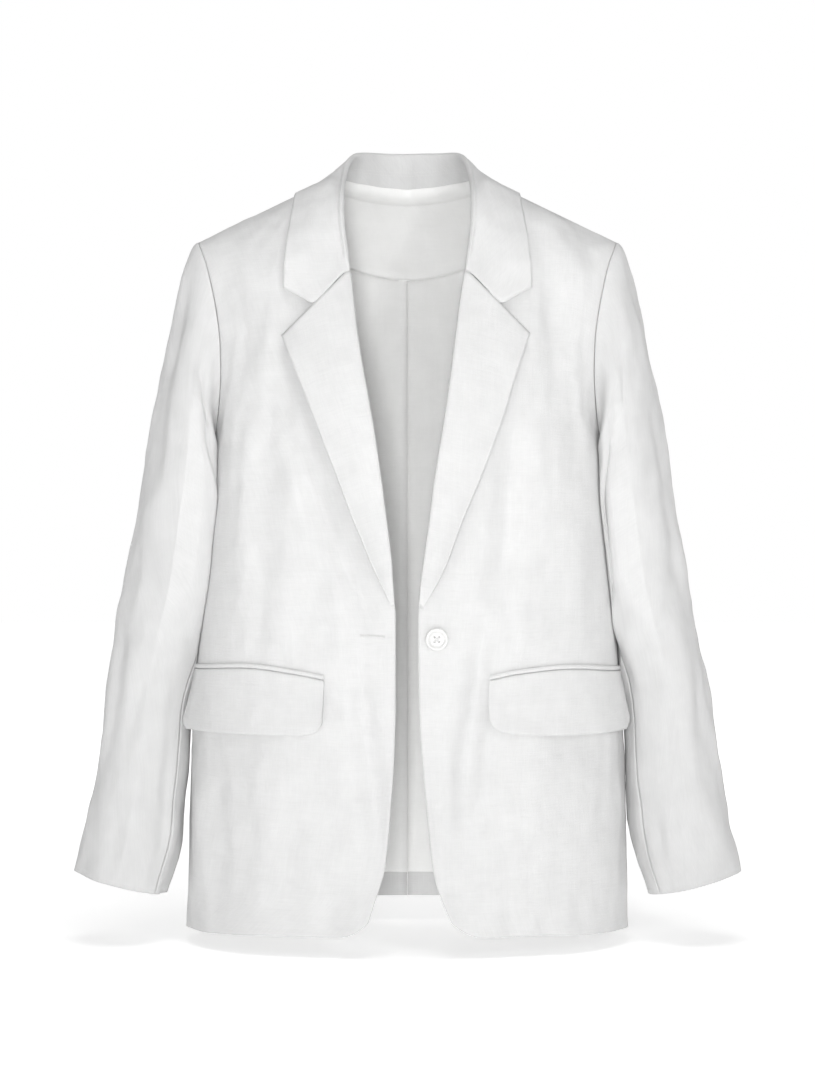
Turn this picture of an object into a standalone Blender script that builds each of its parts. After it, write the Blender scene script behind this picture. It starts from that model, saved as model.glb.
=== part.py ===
"""Single-breasted notch-lapel blazer, hollow and filled out, cut piece by piece.

Metres, +Z up.  The origin is the middle of the neck base, level with the two high
shoulder points.  The garment faces -Y and the wearer's left is +X.  Every cloth
piece is a closed wall between an outer grid of points and the same grid moved
inwards, and neighbouring pieces stay a seam gap apart.
"""
from collections import namedtuple
from functools import lru_cache
import math

import bpy
import numpy as np

# ---- driving sizes -------------------------------------------------------------
CLOTH = 0.0020              # wall of the shell pieces
LINING = 0.0012             # wall of the lining and the back neck facing
SEAM = 0.0003               # gap between neighbouring pieces
LAYER = 0.0005              # gap between a piece and the one that lies on it

NECK_HALF = 0.0747          # high shoulder point, out from the centre
SHOULDER_HALF = 0.2022      # shoulder tip, out from the centre
SHOULDER_DROP = 0.0616      # how far the tip lies below the high shoulder point
SHOULDER_ROUND = 0.080      # height over which the shoulder rounds over
BACK_NECK_DROP = 0.007      # centre back neck seam below the high shoulder point
ARMPIT = -0.268             # level of the lowest armhole point
ARMHOLE_FRONT = 0.050       # reach of the armhole in front of the shoulder seam
ARMHOLE_BACK = 0.058        # reach of the armhole behind it
ROUNDNESS = 2.4             # exponent of the torso's rings

FRONT_HEM = -0.7160
SIDE_HEM = -0.7205
BACK_HEM = -0.7110
LINING_HEM = -0.6880

ARMHOLE_STEPS = 10          # rows from the armpit to the shoulder tip
HEM_ROWS = (0.0, 0.025, 0.055)  # shares of the height that the lowest rows stand at
BODY_ROWS = 14              # rows from the hem to the armpit
FRONT_COLUMNS = 14
BACK_COLUMNS = 12
NECK_COLUMNS = 4            # back columns that end on the neckline

SLEEVE_ANGLE = 180.0 / ARMHOLE_STEPS
FRONT_SLEEVE_SEAM = 8       # sleeve seams, in steps round from the top
BACK_SLEEVE_SEAM = -6
CAP_ROWS = 8
CAP_START = 0.013           # reach of the sleeve head before it turns down
SLEEVE_RISE = 0.25          # least lean of the sleeve off the body where it starts

BUTTON_PLACE = (0.0269, -0.4414)
BUTTON_HOLE_RADIUS = 0.0011
BUTTON_HOLE_OFFSET = 0.0021     # each thread hole, out from the button's centre lines
BUTTON_SIDES = 28
THREAD_HOLE_SIDES = 10

LEFT, RIGHT = 1, -1
FRONT, BACK = -1, 1

# ---- short tables --------------------------------------------------------------
Level = namedtuple("Level", "z half_width front back")
TORSO = [
    Level(-0.7210, 0.2125, 0.1310, 0.1180),
    Level(-0.6876, 0.2120, 0.1310, 0.1170),
    Level(-0.6226, 0.2115, 0.1305, 0.1145),
    Level(-0.5470, 0.2076, 0.1295, 0.1100),
    Level(-0.4770, 0.2040, 0.1290, 0.1050),
    Level(-0.4280, 0.2010, 0.1285, 0.1020),
    Level(-0.3670, 0.1950, 0.1280, 0.1030),
    Level(-0.3110, 0.1900, 0.1275, 0.1080),
    Level(ARMPIT, 0.1870, 0.1250, 0.1120),
    Level(-0.2000, 0.1870, 0.1130, 0.1140),
    Level(-0.1500, 0.1870, 0.0970, 0.1100),
    Level(-0.0965, 0.1870, 0.0770, 0.1010),
    Level(-0.0500, 0.1870, 0.0640, 0.0920),
    Level(0.0400, 0.1870, 0.0550, 0.0830),
]

Armhole = namedtuple("Armhole", "z x")
ARMHOLE = [
    Armhole(ARMPIT, 0.1870),
    Armhole(-0.2450, 0.1830),
    Armhole(-0.2200, 0.1795),
    Armhole(-0.1900, 0.1775),
    Armhole(-0.1650, 0.1780),
    Armhole(-0.1380, 0.1810),
    Armhole(-0.1120, 0.1860),
    Armhole(-0.0850, 0.1930),
    Armhole(-0.0660, 0.2005),
    Armhole(-SHOULDER_DROP, SHOULDER_HALF),
]

Edge = namedtuple("Edge", "z x")
FRONT_EDGE = {
    LEFT: [
        Edge(-0.7046, 0.0404), Edge(-0.6917, 0.0303), Edge(-0.6798, 0.0243),
        Edge(-0.6577, 0.0207), Edge(-0.5962, 0.0147), Edge(-0.5466, 0.0110),
        Edge(-0.4437, 0.0096), Edge(-0.4097, 0.0129), Edge(-0.3592, 0.0202),
        Edge(-0.2949, 0.0276), Edge(-0.2441, 0.0359), Edge(-0.1929, 0.0434),
        Edge(-0.1373, 0.0504), Edge(-0.0976, 0.0565), Edge(-0.0500, 0.0655),
        Edge(-0.0200, 0.0713), Edge(0.0000, NECK_HALF),
    ],
    RIGHT: [
        Edge(-0.7018, 0.0358), Edge(-0.6844, 0.0276), Edge(-0.6697, 0.0211),
        Edge(-0.6500, 0.0184), Edge(-0.6210, 0.0161), Edge(-0.5714, 0.0124),
        Edge(-0.5218, 0.0110), Edge(-0.4308, 0.0110), Edge(-0.4097, 0.0138),
        Edge(-0.3500, 0.0202), Edge(-0.2580, 0.0322), Edge(-0.1548, 0.0500),
        Edge(-0.0976, 0.0565), Edge(-0.0500, 0.0655), Edge(-0.0200, 0.0713),
        Edge(0.0000, NECK_HALF),
    ],
}

LapelEdge = namedtuple("LapelEdge", "z x")
LAPEL_EDGE = {
    LEFT: [
        LapelEdge(-0.4180, 0.0160), LapelEdge(-0.3867, 0.0285), LapelEdge(-0.3362, 0.0485),
        LapelEdge(-0.2810, 0.0716), LapelEdge(-0.2395, 0.0875), LapelEdge(-0.2039, 0.0985),
        LapelEdge(-0.1570, 0.1145),
    ],
    RIGHT: [
        LapelEdge(-0.4140, 0.0165), LapelEdge(-0.3610, 0.0367), LapelEdge(-0.2900, 0.0650),
        LapelEdge(-0.2200, 0.0930), LapelEdge(-0.1590, 0.1180),
    ],
}
LAPEL_BREAK = -0.4100       # where the roll line starts on the front edge
GORGE = (0.0565, -0.0976)   # where the collar seam meets the roll line, x and z
NOTCH = (0.0880, -0.1282)   # inner corner of the notch
LAPEL_LIFT = 0.0060         # the lapel's face over the front
LAPEL_BLOOM = 0.0070        # how much further its free edge stands off
LAPEL_ROWS = 16
LAPEL_COLUMNS = 6

Fold = namedtuple("Fold", "side x_top z_top x_low z_low width depth")
FRONT_FOLDS = [
    Fold(LEFT, 0.143, -0.090, 0.160, -0.310, 0.016, 0.0050),
    Fold(LEFT, 0.106, -0.230, 0.090, -0.430, 0.014, 0.0040),
    Fold(LEFT, 0.062, -0.450, 0.066, -0.600, 0.012, 0.0040),
    Fold(LEFT, 0.092, -0.680, 0.102, -0.730, 0.012, 0.0035),
    Fold(RIGHT, 0.130, -0.240, 0.134, -0.400, 0.018, 0.0045),
    Fold(RIGHT, 0.034, -0.470, 0.028, -0.640, 0.012, 0.0040),
    Fold(RIGHT, 0.178, -0.550, 0.176, -0.720, 0.014, 0.0040),
    Fold(RIGHT, 0.172, -0.080, 0.166, -0.150, 0.014, 0.0035),
]
BACK_FOLDS = [
    Fold(LEFT, 0.120, -0.180, 0.128, -0.420, 0.018, 0.0045),
    Fold(RIGHT, 0.126, -0.200, 0.130, -0.400, 0.018, 0.0045),
    Fold(LEFT, 0.070, -0.480, 0.080, -0.720, 0.020, 0.0040),
    Fold(RIGHT, 0.076, -0.500, 0.084, -0.720, 0.020, 0.0040),
]

SleeveRing = namedtuple("SleeveRing", "outer_z outer_x inner_z inner_x y half_depth")
SLEEVE = [
    SleeveRing(-0.1500, 0.2292, -0.2860, 0.1908, 0.004, 0.068),
    SleeveRing(-0.2200, 0.2441, -0.3350, 0.1942, 0.006, 0.066),
    SleeveRing(-0.2899, 0.2570, -0.3850, 0.1990, 0.006, 0.063),
    SleeveRing(-0.3510, 0.2660, -0.4300, 0.2036, 0.004, 0.060),
    SleeveRing(-0.4020, 0.2755, -0.4700, 0.2058, 0.000, 0.057),
    SleeveRing(-0.4591, 0.2846, -0.5150, 0.2084, -0.005, 0.054),
    SleeveRing(-0.5319, 0.2949, -0.5780, 0.2118, -0.013, 0.050),
    SleeveRing(-0.5969, 0.3056, -0.6320, 0.2160, -0.021, 0.047),
    SleeveRing(-0.6657, 0.3183, -0.6880, 0.2313, -0.028, 0.045),
]
TUBE_ROWS = 14

NeckStation = namedtuple("NeckStation", "fold_x fold_y fold_z edge_x edge_y edge_z rise")
COLLAR = [                  # one row for each corner of the neckline, from the centre back
    NeckStation(0.0000, 0.0735, 0.0360, 0.0000, 0.0980, -0.0300, 1.00),
    NeckStation(0.0280, 0.0665, 0.0355, 0.0500, 0.0900, -0.0300, 1.00),
    NeckStation(0.0495, 0.0450, 0.0325, 0.0830, 0.0670, -0.0270, 1.00),
    NeckStation(0.0580, 0.0180, 0.0220, 0.1000, 0.0360, -0.0200, 0.95),
    NeckStation(0.0612, -0.0040, 0.0075, 0.1070, 0.0020, -0.0120, 0.80),
    NeckStation(0.0632, -0.0455, -0.0180, 0.1100, -0.0360, -0.0330, 0.50),
    NeckStation(0.0625, -0.0640, -0.0480, 0.1140, -0.0640, -0.0630, 0.25),
    NeckStation(0.0590, -0.0745, -0.0770, 0.1160, -0.0780, -0.0900, 0.08),
]
COLLAR_POINT = (0.1170, -0.1135)
FOLD_RADIUS = 0.0032
COLLAR_STEPS = 2            # columns between neighbouring rows of the table
STAND_SEAM = 0.0004         # extra room between the stand's foot and the neck edge
FALL_STEPS = 4              # face points down the fall

FACING_ROW = 7              # armhole row that its lower edge lies on
FACING_HALF = 0.112
LINING_SIDE_COLUMNS = 3     # back columns by the side seam that the lining leaves bare

FlapEdge = namedtuple("FlapEdge", "x seam_z low_z")
FLAP = {
    LEFT: [
        FlapEdge(0.0765, -0.4790, -0.5250), FlapEdge(0.1000, -0.4740, -0.5290),
        FlapEdge(0.1500, -0.4700, -0.5310), FlapEdge(0.2010, -0.4745, -0.5290),
    ],
    RIGHT: [
        FlapEdge(0.0765, -0.4790, -0.5265), FlapEdge(0.1000, -0.4745, -0.5300),
        FlapEdge(0.1500, -0.4690, -0.5300), FlapEdge(0.2020, -0.4725, -0.5290),
    ],
}
FLAP_CORNER = 0.010
FLAP_WALL = 0.0022
FLAP_LIFT = 0.0008
FLAP_BLOOM = 0.0050
FLAP_COLUMNS = 12
FLAP_ROWS = 5
WELT_HEIGHT = 0.0045
WELT_CROWN = (0.0012, 0.0024, 0.0012)   # thickness of the piping from its foot to its top

ButtonRing = namedtuple("ButtonRing", "radius height")
BUTTON = [                  # dished face, raised rim, rounded edge and flat back
    ButtonRing(0.0058, 0.0018), ButtonRing(0.0072, 0.0023), ButtonRing(0.0085, 0.0032),
    ButtonRing(0.0098, 0.0029), ButtonRing(0.0107, 0.0018), ButtonRing(0.0100, 0.0005),
    ButtonRing(0.0080, 0.0000),
]

RollPoint = namedtuple("RollPoint", "across lift")
LAPEL_ROLL = [              # the lapel's face as it comes round the fold
    RollPoint(-0.0023, -0.0008), RollPoint(-0.0034, 0.0014), RollPoint(-0.0026, 0.0038),
]

# ---- finishes ------------------------------------------------------------------
Finish = namedtuple("Finish", "name colour roughness metallic")
LINEN = Finish("linen", (0.83, 0.82, 0.80, 1.0), 0.90, 0.0)
LINING_CLOTH = Finish("lining_cloth", (0.80, 0.79, 0.78, 1.0), 0.70, 0.0)
HORN = Finish("button_white", (0.86, 0.85, 0.82, 1.0), 0.35, 0.0)


def interpolate(rows, key, value, at):
    """Smooth value of one column of a table at a place along its key column."""
    keys = np.array([getattr(row, key) for row in rows])
    values = np.array([getattr(row, value) for row in rows])
    order = np.argsort(keys)
    return float(hermite(keys[order], values[order], at))


def hermite(keys, values, at):
    """Cubic through all the points, straight past both ends, with no overshoot."""
    at = min(max(at, keys[0]), keys[-1])
    i = int(min(max(np.searchsorted(keys, at) - 1, 0), len(keys) - 2))
    steps = np.diff(keys)
    slopes = np.diff(values) / steps
    left = node_slope(slopes, i)
    right = node_slope(slopes, i + 1)
    t = (at - keys[i]) / steps[i]
    return ((2 * t**3 - 3 * t**2 + 1) * values[i] + (t**3 - 2 * t**2 + t) * steps[i] * left
            + (3 * t**2 - 2 * t**3) * values[i + 1] + (t**3 - t**2) * steps[i] * right)


def node_slope(slopes, i):
    """Slope at a point: the harmonic mean of its neighbours, or 0 at a turn."""
    if i == 0:
        return slopes[0]
    if i == len(slopes):
        return slopes[-1]
    before, after = slopes[i - 1], slopes[i]
    if before * after <= 0:
        return 0.0
    return 2 * before * after / (before + after)


def blend(a, b, t):
    """Straight mix of two numbers or vectors."""
    return a + (b - a) * t


def unit(vector):
    """Vector of length one."""
    return vector / np.linalg.norm(vector)


# ---- the torso -----------------------------------------------------------------
def shoulder_z(x):
    """Height of the shoulder line over a place across the body."""
    slope = SHOULDER_DROP / (SHOULDER_HALF - NECK_HALF)
    return -(abs(x) - NECK_HALF) * slope


def shoulder_fullness(x, z):
    """1 on the body's walls, falling to 0 on the shoulder line."""
    s = min(max((shoulder_z(x) - z) / SHOULDER_ROUND, 0.0), 1.0)
    return math.sqrt(1 - (1 - s) ** 2)


def armhole_point(angle, face):
    """Point of the armhole at an angle from the shoulder tip, on one face."""
    middle = (ARMPIT - SHOULDER_DROP) / 2
    half_height = (-SHOULDER_DROP - ARMPIT) / 2
    z = middle + half_height * math.cos(angle)
    reach = ARMHOLE_FRONT if face == FRONT else ARMHOLE_BACK
    return np.array([interpolate(ARMHOLE, "z", "x", z), face * reach * math.sin(angle), z])


def depth(z, face):
    """Depth of the torso's front or back at a height, on its centre line."""
    return interpolate(TORSO, "z", "front" if face == FRONT else "back", z)


def half_width(z, face):
    """Half width of the torso's ring.  Over the armpit it meets the armhole."""
    if z <= ARMPIT:
        return interpolate(TORSO, "z", "half_width", z)
    middle = (ARMPIT - SHOULDER_DROP) / 2
    half_height = (-SHOULDER_DROP - ARMPIT) / 2
    height = min(z, -SHOULDER_DROP - 0.004)
    across = interpolate(ARMHOLE, "z", "x", height)
    angle = math.acos(min(max((height - middle) / half_height, -1.0), 1.0))
    reach = (ARMHOLE_FRONT if face == FRONT else ARMHOLE_BACK) * math.sin(angle)
    ratio = reach / (depth(height, face) * shoulder_fullness(across, height))
    return across / (1 - min(ratio, 0.95) ** ROUNDNESS) ** (1 / ROUNDNESS)


def fold_depth(folds, side, x, z):
    """How far the cloth's soft hanging folds go in at a place."""
    total = 0.0
    for fold in folds:
        if fold.side != side:
            continue
        t = (z - fold.z_top) / (fold.z_low - fold.z_top)
        fade = math.exp(-(2 * t - 1) ** 4)
        line = blend(fold.x_top, fold.x_low, min(max(t, 0.0), 1.0))
        total += fold.depth * fade * math.exp(-((x - line) / fold.width) ** 2)
    return total


def torso_y(x, z, face, side):
    """Depth coordinate of the torso's outer surface; x is taken positive."""
    ratio = min(x / half_width(z, face), 1.0)
    plain = depth(z, face) * (1 - ratio ** ROUNDNESS) ** (1 / ROUNDNESS) * shoulder_fullness(x, z)
    folds = FRONT_FOLDS if face == FRONT else BACK_FOLDS
    fold_room = min(plain / 0.05, 1.0)
    return face * max(plain - fold_depth(folds, side, x, z) * fold_room, SEAM / 2)


def clear_of_body(point, lift, side):
    """The point itself, or the point pushed out until it is a lift off the torso."""
    x, y, z = point
    face = BACK if y > 0 else FRONT
    ratio = min(x / half_width(z, face), 0.999)
    reach = depth(z, face) * (1 - ratio ** ROUNDNESS) ** (1 / ROUNDNESS)
    top = shoulder_z(x)
    q = y / reach
    r = max(1 - (top - z) / SHOULDER_ROUND, 0.0)
    rho = max(math.hypot(q, r), 1e-6)
    wanted = 1 + lift / min(reach, SHOULDER_ROUND)
    if rho >= wanted:
        return point
    push = wanted / rho
    new_z = z if r == 0 else top - SHOULDER_ROUND * (1 - r * push)
    return np.array([x, q * push * reach, new_z])


# ---- grids of the body pieces --------------------------------------------------
def body_share(row):
    """Share of the way from the hem to the armpit at which a row of points stands."""
    if row < len(HEM_ROWS):
        return HEM_ROWS[row]
    above = row - len(HEM_ROWS) + 1
    return blend(HEM_ROWS[-1], 1.0, above / (BODY_ROWS - len(HEM_ROWS) + 1))


def ring_columns(x_from, x_to, width, shares):
    """Places across a ring at shares of the turn between two places."""
    start = math.asin(min(x_from / width, 1.0) ** (ROUNDNESS / 2))
    end = math.asin(min(x_to / width, 1.0) ** (ROUNDNESS / 2))
    return [width * math.sin(blend(start, end, share)) ** (2 / ROUNDNESS) for share in shares]


def front_hem(x, corner_x):
    """Hem height of a front, with the rounded corner by the front edge."""
    base = blend(FRONT_HEM, SIDE_HEM, min(max((x - 0.13) / 0.08, 0.0), 1.0))
    rise = 0.0142 * max(1 - (x - corner_x) / 0.030, 0.0) ** 2
    return base + rise


@lru_cache(maxsize=None)
def front_grid(side):
    """Outer points of one front, rows from the hem to the shoulder seam."""
    edge = FRONT_EDGE[side]
    corner = edge[0]
    shares = [(i / FRONT_COLUMNS) ** 1.2 for i in range(FRONT_COLUMNS + 1)]
    rows = []
    for row in range(BODY_ROWS):
        v = body_share(row)
        level = blend(corner.z, ARMPIT, v)
        wide = half_width(level, FRONT)
        columns = ring_columns(interpolate(edge, "z", "x", level), wide, wide, shares)
        heights = [blend(front_hem(x, corner.x), ARMPIT, v) for x in columns]
        rows.append([(x * half_width(z, FRONT) / wide, z) for x, z in zip(columns, heights)])
    for row in range(ARMHOLE_STEPS + 1):
        v = row / ARMHOLE_STEPS
        side_x, _, side_z = armhole_point(math.pi * (1 - v), FRONT)
        edge_z = blend(ARMPIT, 0.0, v)
        edge_x = interpolate(edge, "z", "x", edge_z)
        wide = max(half_width(side_z, FRONT), side_x)
        columns = ring_columns(edge_x, side_x, wide, shares)
        slope = (side_z - edge_z) / (side_x - edge_x)
        rows.append([(x, edge_z + slope * (x - edge_x)) for x in columns])
    return place(rows, FRONT, side)


def back_top(x):
    """Height of the back neckline, or of the shoulder seam further out."""
    if x < NECK_HALF:
        return -BACK_NECK_DROP * (1 - (x / NECK_HALF) ** 2)
    return shoulder_z(x)


def row_smile(x, v, side_x):
    """Share by which a row near the neck dips at the centre and rises beside it."""
    dip = -0.012 + 0.042 * (x / 0.0625) ** 2 * math.exp(-(x / 0.11) ** 2)
    return 4 * v * (1 - v) * dip * (1 - (x / side_x) ** 2)


@lru_cache(maxsize=None)
def back_grid(side):
    """Outer points of one back half, rows from the hem to the neck and shoulder."""
    shares = [i / BACK_COLUMNS for i in range(BACK_COLUMNS + 1)]
    rows = []
    for row in range(BODY_ROWS):
        v = body_share(row)
        level = blend(BACK_HEM, ARMPIT, v)
        wide = half_width(level, BACK)
        columns = ring_columns(SEAM / 2, wide, wide, shares)
        hems = [blend(BACK_HEM, SIDE_HEM, (x / wide) ** 2) for x in columns]
        heights = [blend(hem, ARMPIT, v) for hem in hems]
        rows.append([(x * half_width(z, BACK) / wide, z) for x, z in zip(columns, heights)])
    quarter = math.pi / 2 / NECK_COLUMNS
    top = [SEAM / 2 + NECK_HALF * math.sin(quarter * i) for i in range(NECK_COLUMNS)]
    rest = BACK_COLUMNS - NECK_COLUMNS
    top += [blend(NECK_HALF, SHOULDER_HALF, i / rest) for i in range(rest + 1)]
    for row in range(ARMHOLE_STEPS + 1):
        v = row / ARMHOLE_STEPS
        side_x, _, side_z = armhole_point(math.pi * (1 - v), BACK)
        wide = max(half_width(side_z, BACK), side_x)
        columns = ring_columns(SEAM / 2, side_x, wide, shares)
        spread = side_x / SHOULDER_HALF
        columns = [blend(x, x_top * spread, v ** 2) for x, x_top in zip(columns, top)]
        side_share = (side_z - ARMPIT) / (-SHOULDER_DROP - ARMPIT)
        line = []
        for x in columns:
            share = blend(v, side_share, (x / side_x) ** 2) + row_smile(x, v, side_x)
            line.append((x, blend(ARMPIT, back_top(x / spread), share)))
        rows.append(line)
    return place(rows, BACK, side)


def place(rows, face, side):
    """Grid of points on the torso from rows of places across and heights."""
    return np.array([[(x, torso_y(x, z, face, side), z) for x, z in row] for row in rows])


# ---- walls ---------------------------------------------------------------------
def normals(grid, outwards):
    """Unit normals of a grid, all turned to the side that a direction field names."""
    along = np.gradient(grid, axis=0)
    across = np.gradient(grid, axis=1)
    found = np.cross(across, along)
    found /= np.linalg.norm(found, axis=2, keepdims=True)
    flip = np.sign(np.sum(found * outwards, axis=2, keepdims=True).sum())
    return found * (flip if flip else 1.0)


def wall(name, outer, inner, finish):
    """Closed wall between two grids of the same size, as one object."""
    rows, columns = outer.shape[:2]
    count = rows * columns
    points = [tuple(p) for p in outer.reshape(-1, 3)] + [tuple(p) for p in inner.reshape(-1, 3)]
    faces = []
    for r in range(rows - 1):
        for c in range(columns - 1):
            a, b = r * columns + c, r * columns + c + 1
            d, e = a + columns, b + columns
            if math.dist(points[a], points[e]) < math.dist(points[b], points[d]):
                halves = ((a, b, e), (a, e, d))
            else:
                halves = ((a, b, d), (b, e, d))
            faces += halves
            faces += [tuple(count + i for i in reversed(half)) for half in halves]
    border = [c for c in range(columns)]
    border += [r * columns + columns - 1 for r in range(1, rows)]
    border += [(rows - 1) * columns + c for c in range(columns - 2, -1, -1)]
    border += [r * columns for r in range(rows - 2, 0, -1)]
    for i, a in enumerate(border):
        b = border[(i + 1) % len(border)]
        faces.append((a, count + a, count + b, b))
    return make_object(name, points, faces, finish)


def make_object(name, points, faces, finish):
    """Mesh object with its faces turned out and its own finish."""
    mesh = bpy.data.meshes.new(name)
    mesh.from_pydata(points, [], faces)
    mesh.validate()
    if signed_volume(points, faces) < 0:
        mesh.flip_normals()
    mesh.shade_smooth()
    mesh.set_sharp_from_angle(angle=math.radians(40))
    mesh.materials.append(material(name, finish))
    thing = bpy.data.objects.new(name, mesh)
    bpy.context.scene.collection.objects.link(thing)
    return thing


def signed_volume(points, faces):
    """Volume inside the faces: negative when they point in."""
    total = 0.0
    for face in faces:
        first = np.array(points[face[0]])
        for i in range(1, len(face) - 1):
            total += float(np.dot(first, np.cross(points[face[i]], points[face[i + 1]])))
    return total / 6


def material(name, finish):
    """A piece's own Principled material."""
    made = bpy.data.materials.new(f"{finish.name}_{name}")
    made.use_nodes = True
    shader = made.node_tree.nodes["Principled BSDF"]
    shader.inputs["Base Color"].default_value = finish.colour
    shader.inputs["Roughness"].default_value = finish.roughness
    shader.inputs["Metallic"].default_value = finish.metallic
    return made


def mirrored(grid, side):
    """Grid on the wearer's left, or its mirror image on the right."""
    return grid * np.array([side, 1.0, 1.0])


def side_name(side):
    """Word for a side in an object's name."""
    return "left" if side == LEFT else "right"


# ---- body pieces ---------------------------------------------------------------
def body_inner(grid, face, distance):
    """The grid moved in along its normals, level with the seams at its borders."""
    away = np.zeros_like(grid)
    away[..., 1] = face
    facing = normals(grid, away)
    facing[:BODY_ROWS + 1, -1, 1] = 0.0
    facing[-1, :, 1] = np.where(grid[-1, :, 0] >= NECK_HALF - 1e-6, 0.0, facing[-1, :, 1])
    if face == BACK:
        facing[:, 0, 0] = 0.0
    facing /= np.linalg.norm(facing, axis=2, keepdims=True)
    return grid - facing * distance


def build_front(side):
    """One front: chest, skirt and rounded lower corner."""
    grid = front_grid(side)
    inner = body_inner(grid, FRONT, CLOTH)
    wall(f"front_{side_name(side)}", mirrored(grid, side), mirrored(inner, side), LINEN)


def build_back(side):
    """One half of the back, up to the centre back seam."""
    grid = back_grid(side)
    inner = body_inner(grid, BACK, CLOTH)
    wall(f"back_{side_name(side)}", mirrored(grid, side), mirrored(inner, side), LINEN)


def neck_columns(side):
    """Back columns that the facing and the lining cover."""
    across = back_grid(side)[-1, :, 0]
    return int(np.searchsorted(across, FACING_HALF))


def build_facing():
    """Back neck facing, inside both back halves."""
    first = BODY_ROWS + FACING_ROW
    near, far = [], []
    for side in (RIGHT, LEFT):
        count = neck_columns(side)
        for distance, grids in ((CLOTH + LAYER, near), (CLOTH + LAYER + LINING, far)):
            layer = body_inner(back_grid(side), BACK, distance)[first:, :count].copy()
            layer[-1] = blend(layer[-1], layer[-2], 0.04)
            grids.append(mirrored(layer, side))
    near = np.concatenate([near[0][:, :0:-1], near[1]], axis=1)
    far = np.concatenate([far[0][:, :0:-1], far[1]], axis=1)
    wall("back_neck_facing", near, far, LINING_CLOTH)


def build_lining(side):
    """Lining inside one back half, from over the hem up to the facing."""
    first = int(np.searchsorted(back_grid(side)[:, 0, 2], LINING_HEM)) - 1
    last = BODY_ROWS + FACING_ROW
    count = BACK_COLUMNS + 1 - LINING_SIDE_COLUMNS
    layers = []
    for distance in (CLOTH + LAYER, CLOTH + LAYER + LINING):
        layer = body_inner(back_grid(side), BACK, distance)[first:last + 1, :count].copy()
        share = (LINING_HEM - layer[0, 0, 2]) / (layer[1, 0, 2] - layer[0, 0, 2])
        layer[0] = blend(layer[0], layer[1], share)
        layer[-1] = blend(layer[-1], layer[-2], SEAM / (layer[-1, 0, 2] - layer[-2, 0, 2]))
        layers.append(mirrored(layer, side))
    wall(f"back_lining_{side_name(side)}", layers[0], layers[1], LINING_CLOTH)


# ---- sleeves -------------------------------------------------------------------
def tube_point(v, angle):
    """Outer point of the sleeve's tube, v from the upper arm (0) to the cuff (1)."""
    keys = np.linspace(0.0, 1.0, len(SLEEVE))
    ring = [hermite(keys, np.array([getattr(r, f) for r in SLEEVE]), v)
            for f in SleeveRing._fields]
    outer_z, outer_x, inner_z, inner_x, y, half_depth = ring
    across = math.cos(angle)
    x = (outer_x + inner_x) / 2 + (outer_x - inner_x) / 2 * across
    z = (outer_z + inner_z) / 2 + (outer_z - inner_z) / 2 * across
    return np.array([x, y - half_depth * math.sin(angle), z])


def body_normal(x, z, face):
    """Unit normal of the torso's plain surface, taken just inside an armhole point."""
    step = 0.0008
    slope_x = (torso_y(x, z, face, 0) - torso_y(x - step, z, face, 0)) / step
    slope_z = (torso_y(x, z, face, 0) - torso_y(x, z - step, face, 0)) / step
    return unit(face * np.array([-slope_x, 1.0, -slope_z]))


def sleeve_leave(angle):
    """Direction in which the sleeve leaves the armhole, always off the body's surface."""
    down = unit(np.array([0.85, -0.45 * math.sin(angle), -0.12 - 0.35 * (1 - math.cos(angle))]))
    turned, face = armhole_side(angle)
    here = armhole_point(turned, face)
    if turned < 0.05:
        off = unit(np.array([SHOULDER_DROP, 0.0, SHOULDER_HALF - NECK_HALF]))
    else:
        off = body_normal(here[0], here[2], face)
    return unit(down + off * max(SLEEVE_RISE - float(np.dot(down, off)), 0.0))


def armhole_side(angle):
    """Angle from the shoulder tip, 0 to pi, and the face of the body it lies on."""
    turned = angle % (2 * math.pi)
    if turned <= math.pi:
        return turned, FRONT
    return 2 * math.pi - turned, BACK


def sleeve_start(angle):
    """Outer point of the sleeve's edge at the armhole."""
    return armhole_point(*armhole_side(angle)) + sleeve_leave(angle) * LAYER


def cap_point(t, angle):
    """Outer point of the sleeve head, from the armhole (0) to the tube (1)."""
    start = sleeve_start(angle)
    end = tube_point(0.0, angle)
    span = np.linalg.norm(end - start)
    leave = sleeve_leave(angle)
    arrive = unit(tube_point(0.05, angle) - end)
    first = start + leave * min(CAP_START, 0.35 * span)
    second = end - arrive * 0.4 * span
    return ((1 - t) ** 3 * start + 3 * (1 - t) ** 2 * t * first
            + 3 * (1 - t) * t * t * second + t**3 * end)


def sleeve_grid(first_step, last_step, trim):
    """Outer points of a sleeve piece, rows from the armhole to the cuff."""
    angles = [math.radians(SLEEVE_ANGLE * s) for s in range(first_step, last_step + 1)]
    angles[0] += trim
    angles[-1] -= trim
    rows = [[cap_point(r / CAP_ROWS, a) for a in angles] for r in range(CAP_ROWS)]
    rows += [[tube_point(r / TUBE_ROWS, a) for a in angles] for r in range(TUBE_ROWS + 1)]
    return np.array(rows)


def build_sleeve(side):
    """Upper and under sleeve, open at the armhole and the cuff."""
    full_turn = 2 * ARMHOLE_STEPS
    pieces = {
        "upper_sleeve": (BACK_SLEEVE_SEAM, FRONT_SLEEVE_SEAM),
        "under_sleeve": (FRONT_SLEEVE_SEAM, full_turn + BACK_SLEEVE_SEAM),
    }
    whole = sleeve_grid(0, full_turn, 0.0)[:, :-1]
    centre = whole.mean(axis=1, keepdims=True)
    facing = ring_normals(whole, centre)
    facing[0] = edge_normals(whole[0], centre[0])
    for piece, (first, last) in pieces.items():
        grid = sleeve_grid(first, last, 0.004)
        steps = np.arange(first, last + 1) % full_turn
        inner = grid - facing[:, steps] * CLOTH
        wall(f"{piece}_{side_name(side)}", mirrored(grid, side), mirrored(inner, side), LINEN)


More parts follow.
